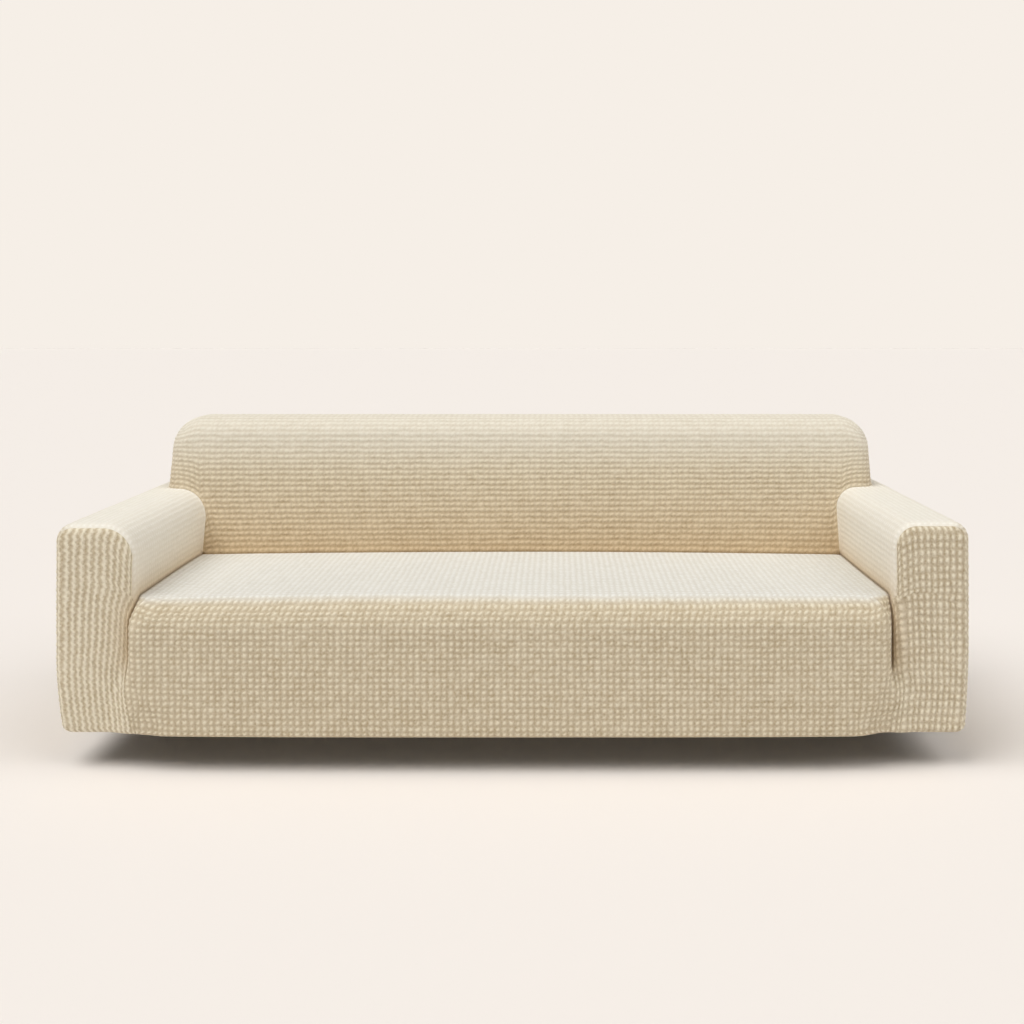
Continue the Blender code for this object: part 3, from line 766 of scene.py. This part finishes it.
def insideBackBlocks(left, right, seatRow):
    nu, nv = backKnit["cells"]
    low = guide["armRise"] + guide["armCorner"] // 2
    reachX, reachZ = back["halfWidth"] - back["cornerRadius"], back["topZ"] - back["cornerRadius"]
    share = shareAlong(seatRow[:, 0])

    # Stem, between the arms
    shelf = left["back"][low] + share[:, None] * (right["back"][low] - left["back"][low])
    shelf[:, 0] = (2.0 * share - 1.0) * reachX
    shelf[:, 1] = faceY(shelf[:, 2])
    shelf = onBody(shelf)
    shelf[0], shelf[-1] = left["back"][low], right["back"][low]
    rise = np.linspace(0.0, 1.0, low + 1)[:, None, None]
    stem = onBody(seatRow[None] + rise * (shelf - seatRow)[None])
    stem[0], stem[-1] = seatRow, shelf
    stem[:, 0], stem[:, -1] = left["back"][:low + 1], right["back"][:low + 1]
    rowKnots, columnKnots = lengthAlong(stem), across(stem)
    tall = puffCount(rowKnots[-1], backKnit["puffHeight"])
    wide = puffCount(columnKnots[-1], backKnit["puffWidth"])
    stem = refine(stem, rowKnots, evenMarks(rowKnots, tall, nv), columnKnots, evenMarks(columnKnots, wide, nu))
    sew(stem, [
        (firstRow, seatBackSeam),
        (firstColumn, armBackSeam(arms["left"])),
        (lastColumn, armBackSeam(arms["right"])),
    ])

    # Head, over the top and round both sides to the rear seam. Past the straight part,
    # rings run out across the rounded edge and then over the back's depth; a ring turns
    # from a square corner to a round one as it leaves the face.
    edge, depth, edgeRun = backKnit["edgePuffs"], backKnit["depthPuffs"], backKnit["edgeRun"]
    ringAt = np.append(np.array(backKnit["ringAlong"]) * edge / edgeRun, edge + 0.5)

    def reach(k):
        return np.interp(k, ringAt, backKnit["ringOut"])

    wraps = edge + depth
    sideOut = ringsOf(wraps, nu)
    out = np.concatenate([sideOut[::-1], np.zeros(wide * nu + 1), sideOut])
    place = np.arange(len(out)) - wraps * nu
    sign = np.where(place < wide / 2 * nu, -1.0, 1.0)
    front = np.clip(place / (wide * nu), 0.0, 1.0)
    high = puffCount((reachZ - shelf[:, 2].mean()) * math.hypot(1.0, back["lean"]), backKnit["puffHeight"])
    o, up = np.meshgrid(out, np.concatenate([[0.0], ringsOf(wraps, nv)]))
    ring = np.maximum(o, up)
    safe = np.maximum(ring, 1e-9)
    angle = 0.5 * np.pi * np.where(up <= o, 0.5 * up / safe, 1.0 - 0.5 * o / safe)
    turned = ease((reach(ring) - backKnit["roundFrom"]) / backKnit["roundRun"])
    side = (1.0 - turned) * reach(o) + turned * reach(ring) * np.cos(angle)
    above = (1.0 - turned) * reach(up) + turned * reach(ring) * np.sin(angle)
    x = np.where(o > 0, sign * (reachX + side), (2.0 * front - 1.0) * reachX)
    z = reachZ + np.where(up > 0, above, 0.0)
    y = faceY(z) + np.interp(ring, ringAt, backKnit["ringBehind"])
    y += np.clip((ring - edge) / depth, 0.0, 1.0) * (cover["rearY"] - guide["rearNudge"] - y)
    crown = np.stack([x, y, z], axis=-1)

    row = np.zeros((len(out), 3))
    row[wraps * nu:(wraps + wide) * nu + 1] = stem[-1]
    wholeRun = edgeRun + backKnit["depthRun"]
    walk = np.interp(out, (0, edge, wraps), (0.0, edgeRun, wholeRun)) / wholeRun
    ends = slice(0, wraps * nu), slice((wraps + wide) * nu + 1, None)
    for seams, arm, part in zip((left, right), arms.values(), ends):
        seam = seams["back"][low:]
        knots = lengthAlong(seam)
        points = smoothThrough(seam, knots, walk[part] * knots[-1])
        laid = settle(points, [armBackSeam(arm), coverBody], 10)
        laid[0 if part.start == 0 else -1] = seam[-1]
        row[part] = laid
    rise = np.linspace(0.0, 1.0, high * nv + 1)[:, None, None]
    rising = row[None] + rise * (crown[0] - row)[None]
    head = onBody(np.concatenate([rising, crown[1:]]), 8)
    for edgeLine in (firstColumn, lastColumn, lastRow):
        head[edgeLine] = settle(head[edgeLine], [rearSeam, coverBody], 15)
    head[0] = row

    stemU, stemV = rowsOf(stem.shape[1], nu), rowsOf(stem.shape[0], nv)
    headU, headV = rowsOf(head.shape[1], nu, -wraps), rowsOf(head.shape[0], nv, tall)
    stemRim = rimShare(stemU, stemV, (0, wide), (0,))
    headRim = rimShare(headU, headV, (-wraps, wide + wraps), (tall + high + wraps,))
    seamed = np.where((headU <= 0) | (headU >= wide), ease((headV[:, None] - tall) / 0.5), 1.0)
    blocks = []
    for grid, u, v, rim in ((stem, stemU, stemV, stemRim), (head, headU, headV, headRim * seamed)):
        z = grid[..., 2]
        # painted paler as if lit higher up, and painted darker, warmer shade lower down towards the seat
        flatAndLit = backKnit["flatAndLit"] * ease((z - backKnit["flatLitLow"]) / backKnit["flatLitRise"])
        paintedShade = np.clip((backKnit["shadeTop"] - z) / backKnit["shadeDrop"], 0.0, backKnit["paintedShade"])
        blocks.append(block(grid, u, v, backKnit, flatAndLit, rim, paintedShade=paintedShade ** backKnit["shadeCurve"]))
    return head, blocks


armKnit = {
    # the inner face gets painted shade near the seat: how far it reaches, and the height below which it is gone
    "cells": (4, 4), "height": 0.0024, "calmHeight": 0.0009, "seatShade": (0.05, 0.20),
    "style": {"columns": 0.9, "rows": 0.9, "slant": 1.0, "leaning": 0.3, "wave": 0.0},
}


def armPanelBlocks(arm, seams):
    edge, raw, corner, meet = seams["edge"], seams["rawEdge"], seams["corner"], seams["meet"]
    crease, behind, rear = seams["crease"], seams["back"], seams["rear"]
    low, rises = crease[:meet + 1][::-1], guide["armRise"]
    share = shareAlong(low[:, 1])

    # Inner block: from the seat up the inner face and over to the back's corner
    ends = behind[:corner + 1]
    inner = edge[None, :corner + 1] + share[:, None, None] * (ends - edge[:corner + 1])[None]
    inner[1:-1, :, 0] = raw[None, :corner + 1, 0]
    inner[1:-1, :, 2] = raw[None, :corner + 1, 2]
    rise = raw[:rises + 1, 2]
    base = low[1:-1, 2][:, None]
    inner[1:-1, :rises + 1, 2] = base + shareAlong(rise)[None] * (rise[-1] - base)
    inner = onBody(inner)
    inner[0], inner[-1], inner[:, 0] = edge[:corner + 1], ends, low

    # Outer block: the whole depth, from the arm's top down the outer side to the hem
    spine = chain(inner[:, corner], behind[corner:])
    outer = edge[None, corner:] + shareAlong(spine[:, 1])[:, None, None] * (rear - edge[corner:])[None]
    outer[1:-1, :, 0] = raw[None, corner:, 0]
    outer[1:-1, :, 2] = raw[None, corner:, 2]
    outer = onBody(outer)
    outer[1:-1, -1] = settle(outer[1:-1, -1], [hemOpening, coverBody])
    outer[:, 0], outer[0], outer[-1] = spine, edge[corner:], rear

    nu, nv = armKnit["cells"]
    rowKnots = lengthAlong(outer)
    deep = puffCount(rowKnots[meet], knit["puffWidth"])
    rest = puffCount(rowKnots[-1] - rowKnots[meet], knit["puffWidth"])
    rowAt = marks(rowKnots, (0, meet, len(spine) - 1), (deep, rest), nv)
    innerKnots, outerKnots = across(inner), across(outer)
    inWide, outWide = (puffCount(knots[-1], knit["puffHeight"]) for knots in (innerKnots, outerKnots))
    innerAt, outerAt = evenMarks(innerKnots, inWide, nu), evenMarks(outerKnots, outWide, nu)
    inner = refine(inner, rowKnots[:meet + 1], rowAt[:deep * nv + 1], innerKnots, innerAt)
    outer = refine(outer, rowKnots, rowAt, outerKnots, outerAt)
    besideBack = np.s_[deep * nv:, 0]
    sew(inner, [(firstRow, edgeSeam(arm)), (lastRow, armBackSeam(arm)), (firstColumn, creaseSeam(arm))])
    sew(outer, [
        (firstRow, edgeSeam(arm)), (lastRow, rearSeam),
        (lastColumn, hemOpening), (besideBack, armBackSeam(arm)),
    ])
    outer[:deep * nv + 1, 0] = inner[:, -1]

    v = rowsOf(outer.shape[0], nv)
    innerU, outerU = rowsOf(inner.shape[1], nu), rowsOf(outer.shape[1], nu, inWide)
    innerV = v[:deep * nv + 1]
    outerRim = rimShare(outerU, v, (), (0, deep + rest))
    beside = ease((outerU - inWide) / knit["rimWidth"])  # 0 on the seam with the back
    outerRim *= np.where(v[:, None] >= deep, beside, 1.0)
    blocks = []
    for grid, u, rows, rim, plain in (
        (inner, innerU, innerV, rimShare(innerU, innerV, (0,), (0, deep)), 1.0),
        (outer, outerU, v, outerRim, hemFade(outer)),
    ):
        # cloth that doesn't face outwards is stretched flatter and painted paler as if lit; the inner face gets
        # painted shade near the seat
        facing = outward(grid)[..., 0] * arm["side"]
        paintedShade = shadeNearSeat(grid, armKnit["seatShade"]) * (facing < 0.0)
        blocks.append(block(grid, u, rows, armKnit, 1.0 - ease(facing), rim, plain, paintedShade))
    return outer, blocks


frontKnits = {
    # near the seat the arm fronts take flatter puffs and paler tones, and painted shade darkens them
    "flatAndLit": 0.6, "seatShade": (0.025, 0.12), "rimWidth": 0.3,
    "left": {
        "cells": (5, 5), "height": 0.0026, "calmHeight": 0.0010, "puffsAcross": 12, "puffHeight": 0.0142,
        "style": {"columns": 1.0, "rows": 0.28, "slant": -0.3, "leaning": 0.25, "wave": 0.11},
    },
    "right": {
        "cells": (5, 5), "height": 0.0028, "calmHeight": 0.0010, "puffsAcross": 13, "puffHeight": 0.0181,
        "style": {"columns": 1.0, "rows": 0.7, "slant": -0.8, "leaning": 0.45, "wave": 0.05},
    },
}


def armFrontBlocks(arm, seams, frontKnit):
    edge, crease, meet = seams["edge"], seams["crease"], seams["meet"]
    innerTop = guide["armRise"]
    outerTop = guide["armRise"] + guide["armCorner"] + guide["armTop"] + guide["armEdge"] // 2
    nu, nv = frontKnit["cells"]
    lower, upper = crease[meet:][::-1], edge[:innerTop + 1]
    outer, top = edge[outerTop:][::-1], edge[innerTop:outerTop + 1]
    lowPuffs = puffCount(lengthAlong(lower)[-1], frontKnit["puffHeight"])
    highPuffs = puffCount(lengthAlong(upper)[-1], frontKnit["puffHeight"])
    tall, wide = lowPuffs + highPuffs, frontKnit["puffsAcross"]

    def even(points, puffs, cells, rule):
        knots = lengthAlong(points)
        return relay(smoothThrough(points, knots, evenMarks(knots, puffs, cells)), rule)

    innerLine = chain(even(lower, lowPuffs, nv, creaseSeam(arm)), even(upper, highPuffs, nv, edgeSeam(arm)))
    outerLine = even(outer, tall, nv, edgeSeam(arm))
    topLine = even(top, wide, nu, edgeSeam(arm))
    bottomLine = settle(line(innerLine[0], outerLine[0], wide * nu), [hemOpening, coverBody], 31)
    bottomLine[0], bottomLine[-1] = innerLine[0], outerLine[0]
    grid = onBody(patch(bottomLine, topLine, innerLine, outerLine), 20)
    grid[0], grid[-1], grid[:, 0], grid[:, -1] = bottomLine, topLine, innerLine, outerLine
    u, v = rowsOf(grid.shape[1], nu), rowsOf(grid.shape[0], nv)
    rim = rimShare(u, v, (0, wide), (tall,), frontKnits["rimWidth"])
    # painted shade near the seat, where the puffs are also flatter and take the paler tones
    paintedShade = shadeNearSeat(grid, frontKnits["seatShade"])
    return [block(grid, u, v, frontKnit, frontKnits["flatAndLit"] * paintedShade, rim, hemFade(grid), paintedShade)]


rearKnit = {
    "cellWidth": 0.0060, "cellHeight": 0.0057, "cells": 3, "height": 0.0024,
    "snap": 0.35,  # points nearer the outline than this share of a cell are drawn on to it
    "rim": 0.008, "footZ": 0.012, "footRise": 0.009,
    "floorPoints": 60, "batch": 4000,
    "style": {"columns": 0.9, "rows": 0.95, "slant": 1.0, "leaning": 0.3, "wave": 0.0},
}


def outsideBackPiece(name, left, right, head):
    # one cut sheet: its columns and rows run straight, and the cells past its outline are drawn back on to it;
    # left, right, head: the rear lines of the arm panels and of the inside back
    radius, bendY = cover["hemRadius"], cover["rearY"] - cover["hemRadius"] - guide["rearNudge"]
    seam = chain(left[::-1], head[1:, 0], head[-1], head[::-1, -1], right)
    floorLine = relay(line(seam[-1], seam[0], rearKnit["floorPoints"]), hemOpening, 30)
    outline = chain(seam, floorLine)[:-1]

    def unrolled(p):
        # x, and the height up the sheet, carried on round the hem and in under the cover
        y, z = p[:, 1], p[:, 2]
        bent = radius * (1.0 - np.arctan2(radius - z, np.maximum(y - bendY, 1e-6)))
        under = radius * (1.0 - 0.5 * np.pi) - (bendY - y)
        return np.stack([p[:, 0], np.where(z > radius, z, np.where(y < bendY, under, bent))], axis=-1)

    flatOutline = unrolled(outline)
    cw, ch, cells = rearKnit["cellWidth"], rearKnit["cellHeight"], rearKnit["cells"]
    columns = math.ceil(cover["halfWidth"] / cw) + 1
    rows = np.arange(math.floor(flatOutline[:, 1].min() / ch) - 1, math.ceil(back["topZ"] / ch) + 1)
    i, j = np.meshgrid(np.arange(-columns, columns + 1), rows)
    grid = np.stack([i * cw, j * ch], axis=-1).reshape(-1, 2).astype(float)

    # Nearest point of the outline, and whether each grid point lies inside it
    a, b = flatOutline, np.roll(flatOutline, -1, axis=0)
    run = b - a
    size = np.maximum((run * run).sum(-1), 1e-12)
    nearest, share, distance, inside = (np.zeros(len(grid), kind) for kind in (int, float, float, bool))
    for start in range(0, len(grid), rearKnit["batch"]):
        part = slice(start, start + rearKnit["batch"])
        p = grid[part]
        t = np.clip(((p[:, None] - a) * run).sum(-1) / size, 0.0, 1.0)
        gap = np.linalg.norm(p[:, None] - (a + t[..., None] * run), axis=-1)
        k = gap.argmin(axis=1)
        best = np.arange(len(p)), k
        nearest[part], share[part], distance[part] = k, t[best], gap[best]
        crosses = (a[:, 1] > p[:, 1:]) != (b[:, 1] > p[:, 1:])
        where = a[:, 0] + (p[:, 1:] - a[:, 1]) * run[:, 0] / np.where(run[:, 1] == 0, 1e-12, run[:, 1])
        inside[part] = (crosses & (p[:, :1] < where)).sum(axis=1) % 2 == 1
    snapped = ~inside | (distance < rearKnit["snap"] * ch)
    onSeam = outline[nearest] + share[:, None] * (np.roll(outline, -1, axis=0) - outline)[nearest]

    # From the sheet to the body: up the rear face, round the hem and in under it
    h = grid[:, 1]
    angle = np.clip((radius - h) / radius, 0.0, 0.5 * np.pi)
    under = np.maximum(radius * (1.0 - 0.5 * np.pi) - h, 0.0)
    y = cover["rearY"] - radius * (1.0 - np.cos(angle)) - under
    z = np.where(h > radius, h, radius * (1.0 - np.sin(angle)))
    body = np.stack([grid[:, 0], y, z], axis=-1)
    free = ~snapped
    body[free] = onBody(body[free], 12)
    body[snapped] = onSeam[snapped]

    faces = quads(np.arange(len(grid)).reshape(len(rows), -1))[:, ::-1]
    faces = faces[free[faces].any(axis=1)]
    u, v = grid[:, 0] / (cells * cw), grid[:, 1] / (cells * ch)
    rim = ease(np.where(snapped, 0.0, distance) / rearKnit["rim"])
    foot = ease((h - rearKnit["footZ"]) / rearKnit["footRise"])
    puffed = raised(body, u, v, rearKnit["height"] * foot, rim, rearKnit["style"])
    return shellFromCells(name, body, puffed, np.stack([u, v], -1), faces)


def shellFromCells(name, flat, puffed, uv, faces):
    # points that fell together are merged, squares that lost a corner become triangles,
    # then the sheet gets its inner side
    used, faces = np.unique(faces, return_inverse=True)
    faces = faces.reshape(-1, 4)
    flat, puffed, uv = flat[used], puffed[used], uv[used]
    first, merged = fused(flat, 5)
    faces = merged[faces]
    flat, puffed, uv = flat[first], puffed[first], uv[first]
    same = faces == np.roll(faces, -1, axis=1)
    lost = same.sum(axis=1)
    squares, threes = faces[lost == 0], faces[lost == 1][~same[lost == 1]].reshape(-1, 3)
    pairs = np.concatenate([sidesOf(squares), sidesOf(threes)])
    count = len(flat)
    edges = pairs[usedOnce(pairKeys(pairs, count))]
    inner = flat - cover["thickness"] * outward(flat)
    rim = np.stack([edges[:, 1], edges[:, 0], edges[:, 0] + count, edges[:, 1] + count], axis=1)
    groups = [squares, threes, squares[:, ::-1] + count, threes[:, ::-1] + count, rim]
    points, puffs = np.concatenate([puffed, inner]), np.concatenate([uv, uv])
    return addPanel(name, fillMesh(name, points, groups, puffs, np.zeros((2 * count, 3))))


# Materials

class Value:
    # a number, colour or vector that varies over a surface
    def __init__(self, paint, socket):
        self.paint, self.socket = paint, socket

    def worked(self, operation, other, swapped=False):
        first, second = (other, self) if swapped else (self, other)
        return self.paint.math(operation, first, second)

    def __add__(self, other):
        return self.worked("ADD", other)

    def __radd__(self, other):
        return self.worked("ADD", other, True)

    def __sub__(self, other):
        return self.worked("SUBTRACT", other)

    def __rsub__(self, other):
        return self.worked("SUBTRACT", other, True)

    def __mul__(self, other):
        return self.worked("MULTIPLY", other)

    def __rmul__(self, other):
        return self.worked("MULTIPLY", other, True)


class Paint:
    # one material and its nodes
    def __init__(self, name):
        self.material = bpy.data.materials.new(name)
        self.material.use_nodes = True
        self.tree = self.material.node_tree
        self.shader = self.tree.nodes["Principled BSDF"]

    def node(self, kind, settings=None, values=None, output=0):
        node = self.tree.nodes.new(kind)
        for key, value in (settings or {}).items():
            setattr(node, key, value)
        for key, value in (values or {}).items():
            self.put(node.inputs[key], value)
        return Value(self, node.outputs[output])

    def put(self, socket, value):
        if isinstance(value, Value):
            self.tree.links.new(value.socket, socket)
        else:
            socket.default_value = value

    def math(self, operation, *values):
        return self.node("ShaderNodeMath", {"operation": operation}, dict(enumerate(values)))

    def parts(self, vector):
        split = self.node("ShaderNodeSeparateXYZ", None, {0: vector}).socket.node
        return [Value(self, socket) for socket in split.outputs]

    def mixed(self, share, low, high, blend="MIX"):
        # between two colours by share; the colour sockets of Mix are its seventh and eighth
        settings = {"data_type": "RGBA", "blend_type": blend}
        return self.node("ShaderNodeMix", settings, {0: share, 6: low, 7: high}, 2)

    def finish(self, **values):
        for key, value in values.items():
            self.put(self.shader.inputs[key], value)
        return self.material


def colour(red, green, blue):
    # screen values from 0 to 255 as scene-linear
    parts = [v / 255.0 for v in (red, green, blue)]
    return tuple(v / 12.92 if v <= 0.04045 else ((v + 0.055) / 1.055) ** 2.4 for v in parts) + (1.0,)


fullTurn = 2.0 * math.pi
# the cloth's fine grain: scale and detail of each noise, and its share in the bump's height and in the tone
grains = {"broad": (5.0, 3.0), "patchy": (38.0, 2.0), "slub": (190.0, 2.0), "fuzz": (700.0, 3.0)}
heights = {"pillow": 0.6, "rib": 0.06, "slub": 0.25, "fuzz": 0.2}
tones = {"slub": 0.8, "patchy": 0.25, "broad": 0.15, "fuzz": 0.2}
yarn = {
    "shifts": (0.25, 0.2),  # how far a slub shifts the knit's lines, across and along
    "thinValley": 0.7, "fullValley": 1.3,  # depth of the valleys from one patch to another
    "ridge": 4.0,  # a larger value makes the diagonal narrower
    "ribs": (7.0, 4.0, 2.0),  # turns of the fine ribs across and along a puff, and a patch's shift
    "flatLitTone": 0.7,  # how much of the tone shows in stretched cloth, which is painted paler as if lit
    "bump": 0.7, "roughness": 0.80, "roughSpread": 0.15,
}


def knitMaterial(name, look):
    paint = Paint(name)
    puffs = paint.node("ShaderNodeUVMap", {"uv_map": "puffs"})
    u, v = paint.parts(puffs)[:2]
    flatAndLit, paintedShade, foldShade = paint.parts(paint.node("ShaderNodeAttribute", {"attribute_name": "tint"}, None, 1))
    place = paint.node("ShaderNodeTexCoord", None, None, 3)
    broad, patchy, slub, fuzz = (
        paint.node("ShaderNodeTexNoise", None, {"Vector": place, "Scale": scale, "Detail": detail})
        for scale, detail in grains.values()
    )
    # a pillow in each square of the knit, fuller along one diagonal, its lines deeper in some patches
    su = u + paint.math("SINE", v * fullTurn) * look["wave"] + (slub - 0.5) * yarn["shifts"][0]
    sv = v + (slub - 0.5) * yarn["shifts"][1]
    a, b = (paint.math("FRACT", way) * 2.0 - 1.0 for way in (su, sv))
    gapU, gapV = (paint.math("COSINE", way * fullTurn) * 0.5 + 0.5 for way in (su, sv))
    deeper = patchy * (yarn["fullValley"] - yarn["thinValley"])
    pillow = 1.0 - gapU * (deeper + yarn["thinValley"]) * look["columns"]
    pillow = pillow * (1.0 - gapV * (yarn["fullValley"] - deeper) * look["rows"])
    slant = a - b * look["slant"]
    ridge = paint.math("EXPONENT", slant * slant * -yarn["ridge"]) * pillow
    square = paint.node("ShaderNodeVectorMath", {"operation": "FLOOR"}, {0: puffs})
    each = paint.node("ShaderNodeTexWhiteNoise", {"noise_dimensions": "2D"}, {"Vector": square})
    ribU, ribV, ribPatch = yarn["ribs"]  # they lean across each puff
    rib = paint.math("SINE", (u * ribU + v * ribV + patchy * ribPatch) * fullTurn)
    height = pillow * heights["pillow"] + ridge * look["leaning"] + rib * heights["rib"]
    height = height + slub * heights["slub"] + fuzz * heights["fuzz"]
    relief = {"Strength": yarn["bump"], "Distance": look["relief"], "Height": height}
    bump = paint.node("ShaderNodeBump", None, relief)
    # darker valleys and a lighter diagonal on each puff: partly the knit's own tone, partly painted shade and
    # painted highlight
    tone = pillow * look["pillow"] + ridge * look["ridge"] + (each - 0.5) * look["each"]
    tone = tone + (slub - 0.5) * tones["slub"] + (patchy - 0.5) * tones["patchy"]
    tone = tone + (broad - 0.5) * tones["broad"] + (fuzz - 0.5) * tones["fuzz"] + look["tone"]
    strong = paint.mixed(tone, look["valley"], look["top"])
    # stretched cloth is painted paler and less yellow, as if lit
    flatLitTone = tone * yarn["flatLitTone"] + (1.0 - yarn["flatLitTone"])
    paleLitColour = paint.mixed(flatLitTone, look["flatLitValley"], look["flatLitTop"])
    base = paint.mixed(flatAndLit, strong, paleLitColour)
    # painted shade towards the seat, darker and warmer
    base = paint.mixed(paintedShade, base, paint.mixed(1.0, base, look["shadeColour"], "MULTIPLY"))
    # painted shade darkens the crease folds
    base = paint.mixed(foldShade, base, look["foldShade"])
    return paint.finish(**{
        "Base Color": base, "Roughness": broad * yarn["roughSpread"] + yarn["roughness"], "Normal": bump,
        "Sheen Weight": 0.15, "Sheen Roughness": 0.5, "Specular IOR Level": 0.2,
    })


# Camera, floor and light
camera = {"lens": 43.55, "place": (0.112, -3.520, 1.0350), "shift": (-0.0439, -0.1875)}
studio = {
    "floorZ": -0.088, "paper": (246, 239, 231), "floorTone": (0.897, 0.859, 0.831, 1.0),
    "sky": 0.27, "skyColour": (1.0, 0.975, 0.945, 1.0), "sunColour": (1.0, 0.975, 0.94),
    "suns": {  # degrees from overhead, turn from the front, spread, and power
        "leftSun": (30.0, -60.0, 45.0, 1.88),
        "rightSun": (40.0, 68.0, 50.0, 0.95),
    },
}


def makeCamera():
    data = bpy.data.cameras.new("camera")
    data.lens, data.sensor_width = camera["lens"], 36.0
    data.shift_x, data.shift_y = camera["shift"]
    holder = addPiece("camera", data)
    holder.location = camera["place"]
    holder.rotation_euler = (0.5 * math.pi, 0.0, 0.0)
    bpy.context.scene.camera = holder


def plane(name, corners, material):
    mesh = bpy.data.meshes.new(name)
    mesh.from_pydata(corners, [], [(0, 1, 2, 3)])
    mesh.materials.append(material)
    piece = addPiece(name, mesh)
    return piece


def makeStage():
    low = studio["floorZ"]
    floor = Paint("paperFloor").finish(**{
        "Base Color": studio["floorTone"], "Roughness": 1.0, "Specular IOR Level": 0.0,
    })
    plane("floor", [(-40, -12, low), (40, -12, low), (40, 45, low), (-40, 45, low)], floor)
    wall = Paint("paperWall").finish(**{
        "Base Color": (0, 0, 0, 1), "Emission Color": colour(*studio["paper"]),
        "Emission Strength": 1.0, "Specular IOR Level": 0.0,
    })
    paper = plane("wall", [(-60, 45, -3), (60, 45, -3), (60, 45, 40), (-60, 45, 40)], wall)
    paper.visible_diffuse = paper.visible_glossy = paper.visible_shadow = False  # seen, but it lights nothing


def makeLight():
    world = bpy.data.worlds.new("studio")
    world.use_nodes = True
    sky = world.node_tree.nodes["Background"]
    sky.inputs["Color"].default_value = studio["skyColour"]
    sky.inputs["Strength"].default_value = studio["sky"]
    bpy.context.scene.world = world
    for name, (tilt, aside, spread, power) in studio["suns"].items():
        data = bpy.data.lights.new(name, "SUN")
        data.energy, data.color, data.angle = power, studio["sunColour"], math.radians(spread)
        addPiece(name, data).rotation_euler = (math.radians(tilt), 0.0, math.radians(aside))
    bpy.context.scene.view_settings.view_transform = "Standard"
    bpy.context.scene.view_settings.look = "None"


makeCamera()
makeStage()
makeLight()
print("camera, floor and light ready")

# puff top and valley colours, the valleys partly painted shade; paler colours painted as if lit for stretched
# cloth; colours of the painted shade towards the seat and in the crease folds
finish = {
    "top": colour(238, 229, 207), "valley": colour(180, 161, 128),
    "flatLitTop": colour(240, 237, 227), "flatLitValley": colour(224, 216, 197),
    "shadeColour": colour(232, 214, 188), "foldShade": colour(112, 80, 46),
    "columns": 1.0, "rows": 0.85, "slant": -1.0, "wave": 0.0, "leaning": 0.5, "relief": 0.0010,
    "pillow": 0.45, "ridge": 0.4, "each": 0.16, "tone": 0.34,
}
finishes = {
    "apron": {"flatLitTop": colour(240, 240, 236), "flatLitValley": colour(200, 195, 180)},
    "inside": {
        "columns": 0.4, "rows": 1.0, "slant": 1.0,
        "valley": colour(186, 169, 140), "shadeColour": colour(236, 220, 200),
    },
    "arm": {"slant": 1.0, "flatLitTop": colour(249, 246, 237), "flatLitValley": colour(230, 224, 209)},
    "leftFront": {"rows": 0.28, "wave": 0.11, "slant": -0.3, "top": colour(243, 235, 214)},
    "rightFront": {
        "rows": 0.7, "wave": 0.05, "slant": -0.8, "top": colour(243, 235, 214), "valley": colour(170, 150, 116),
    },
}
clothes = {name: knitMaterial(name + "Knit", {**finish, **own}) for name, own in finishes.items()}


def take(piece, node, cloth):
    piece.data.materials.append(clothes[cloth])
    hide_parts(node)
    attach(piece, "root")


seams = {name: armSeams(arm) for name, arm in arms.items()}
print("seam lines laid")
seatGrid, seatBlocks = seatFrontBlocks(seams["left"], seams["right"])
take(closedCloth("seatFront", seatBlocks), "seat_front_panel", "apron")
headGrid, backBlocks = insideBackBlocks(seams["left"], seams["right"], seatGrid[0])
take(closedCloth("insideBack", backBlocks), "inside_back_panel", "inside")
rearLines = {}
for name, arm in arms.items():
    outerGrid, armBlocks = armPanelBlocks(arm, seams[name])
    rearLines[name] = outerGrid[-1]
    take(closedCloth(name + "Arm", armBlocks), name + "_arm_panel", "arm")
    frontBlocks = armFrontBlocks(arm, seams[name], frontKnits[name])
    take(closedCloth(name + "ArmFront", frontBlocks), name + "_arm_front", name + "Front")
outsideBack = outsideBackPiece("outsideBack", rearLines["left"], rearLines["right"], headGrid)
take(outsideBack, "outside_back_panel", "inside")
print("all panels made")
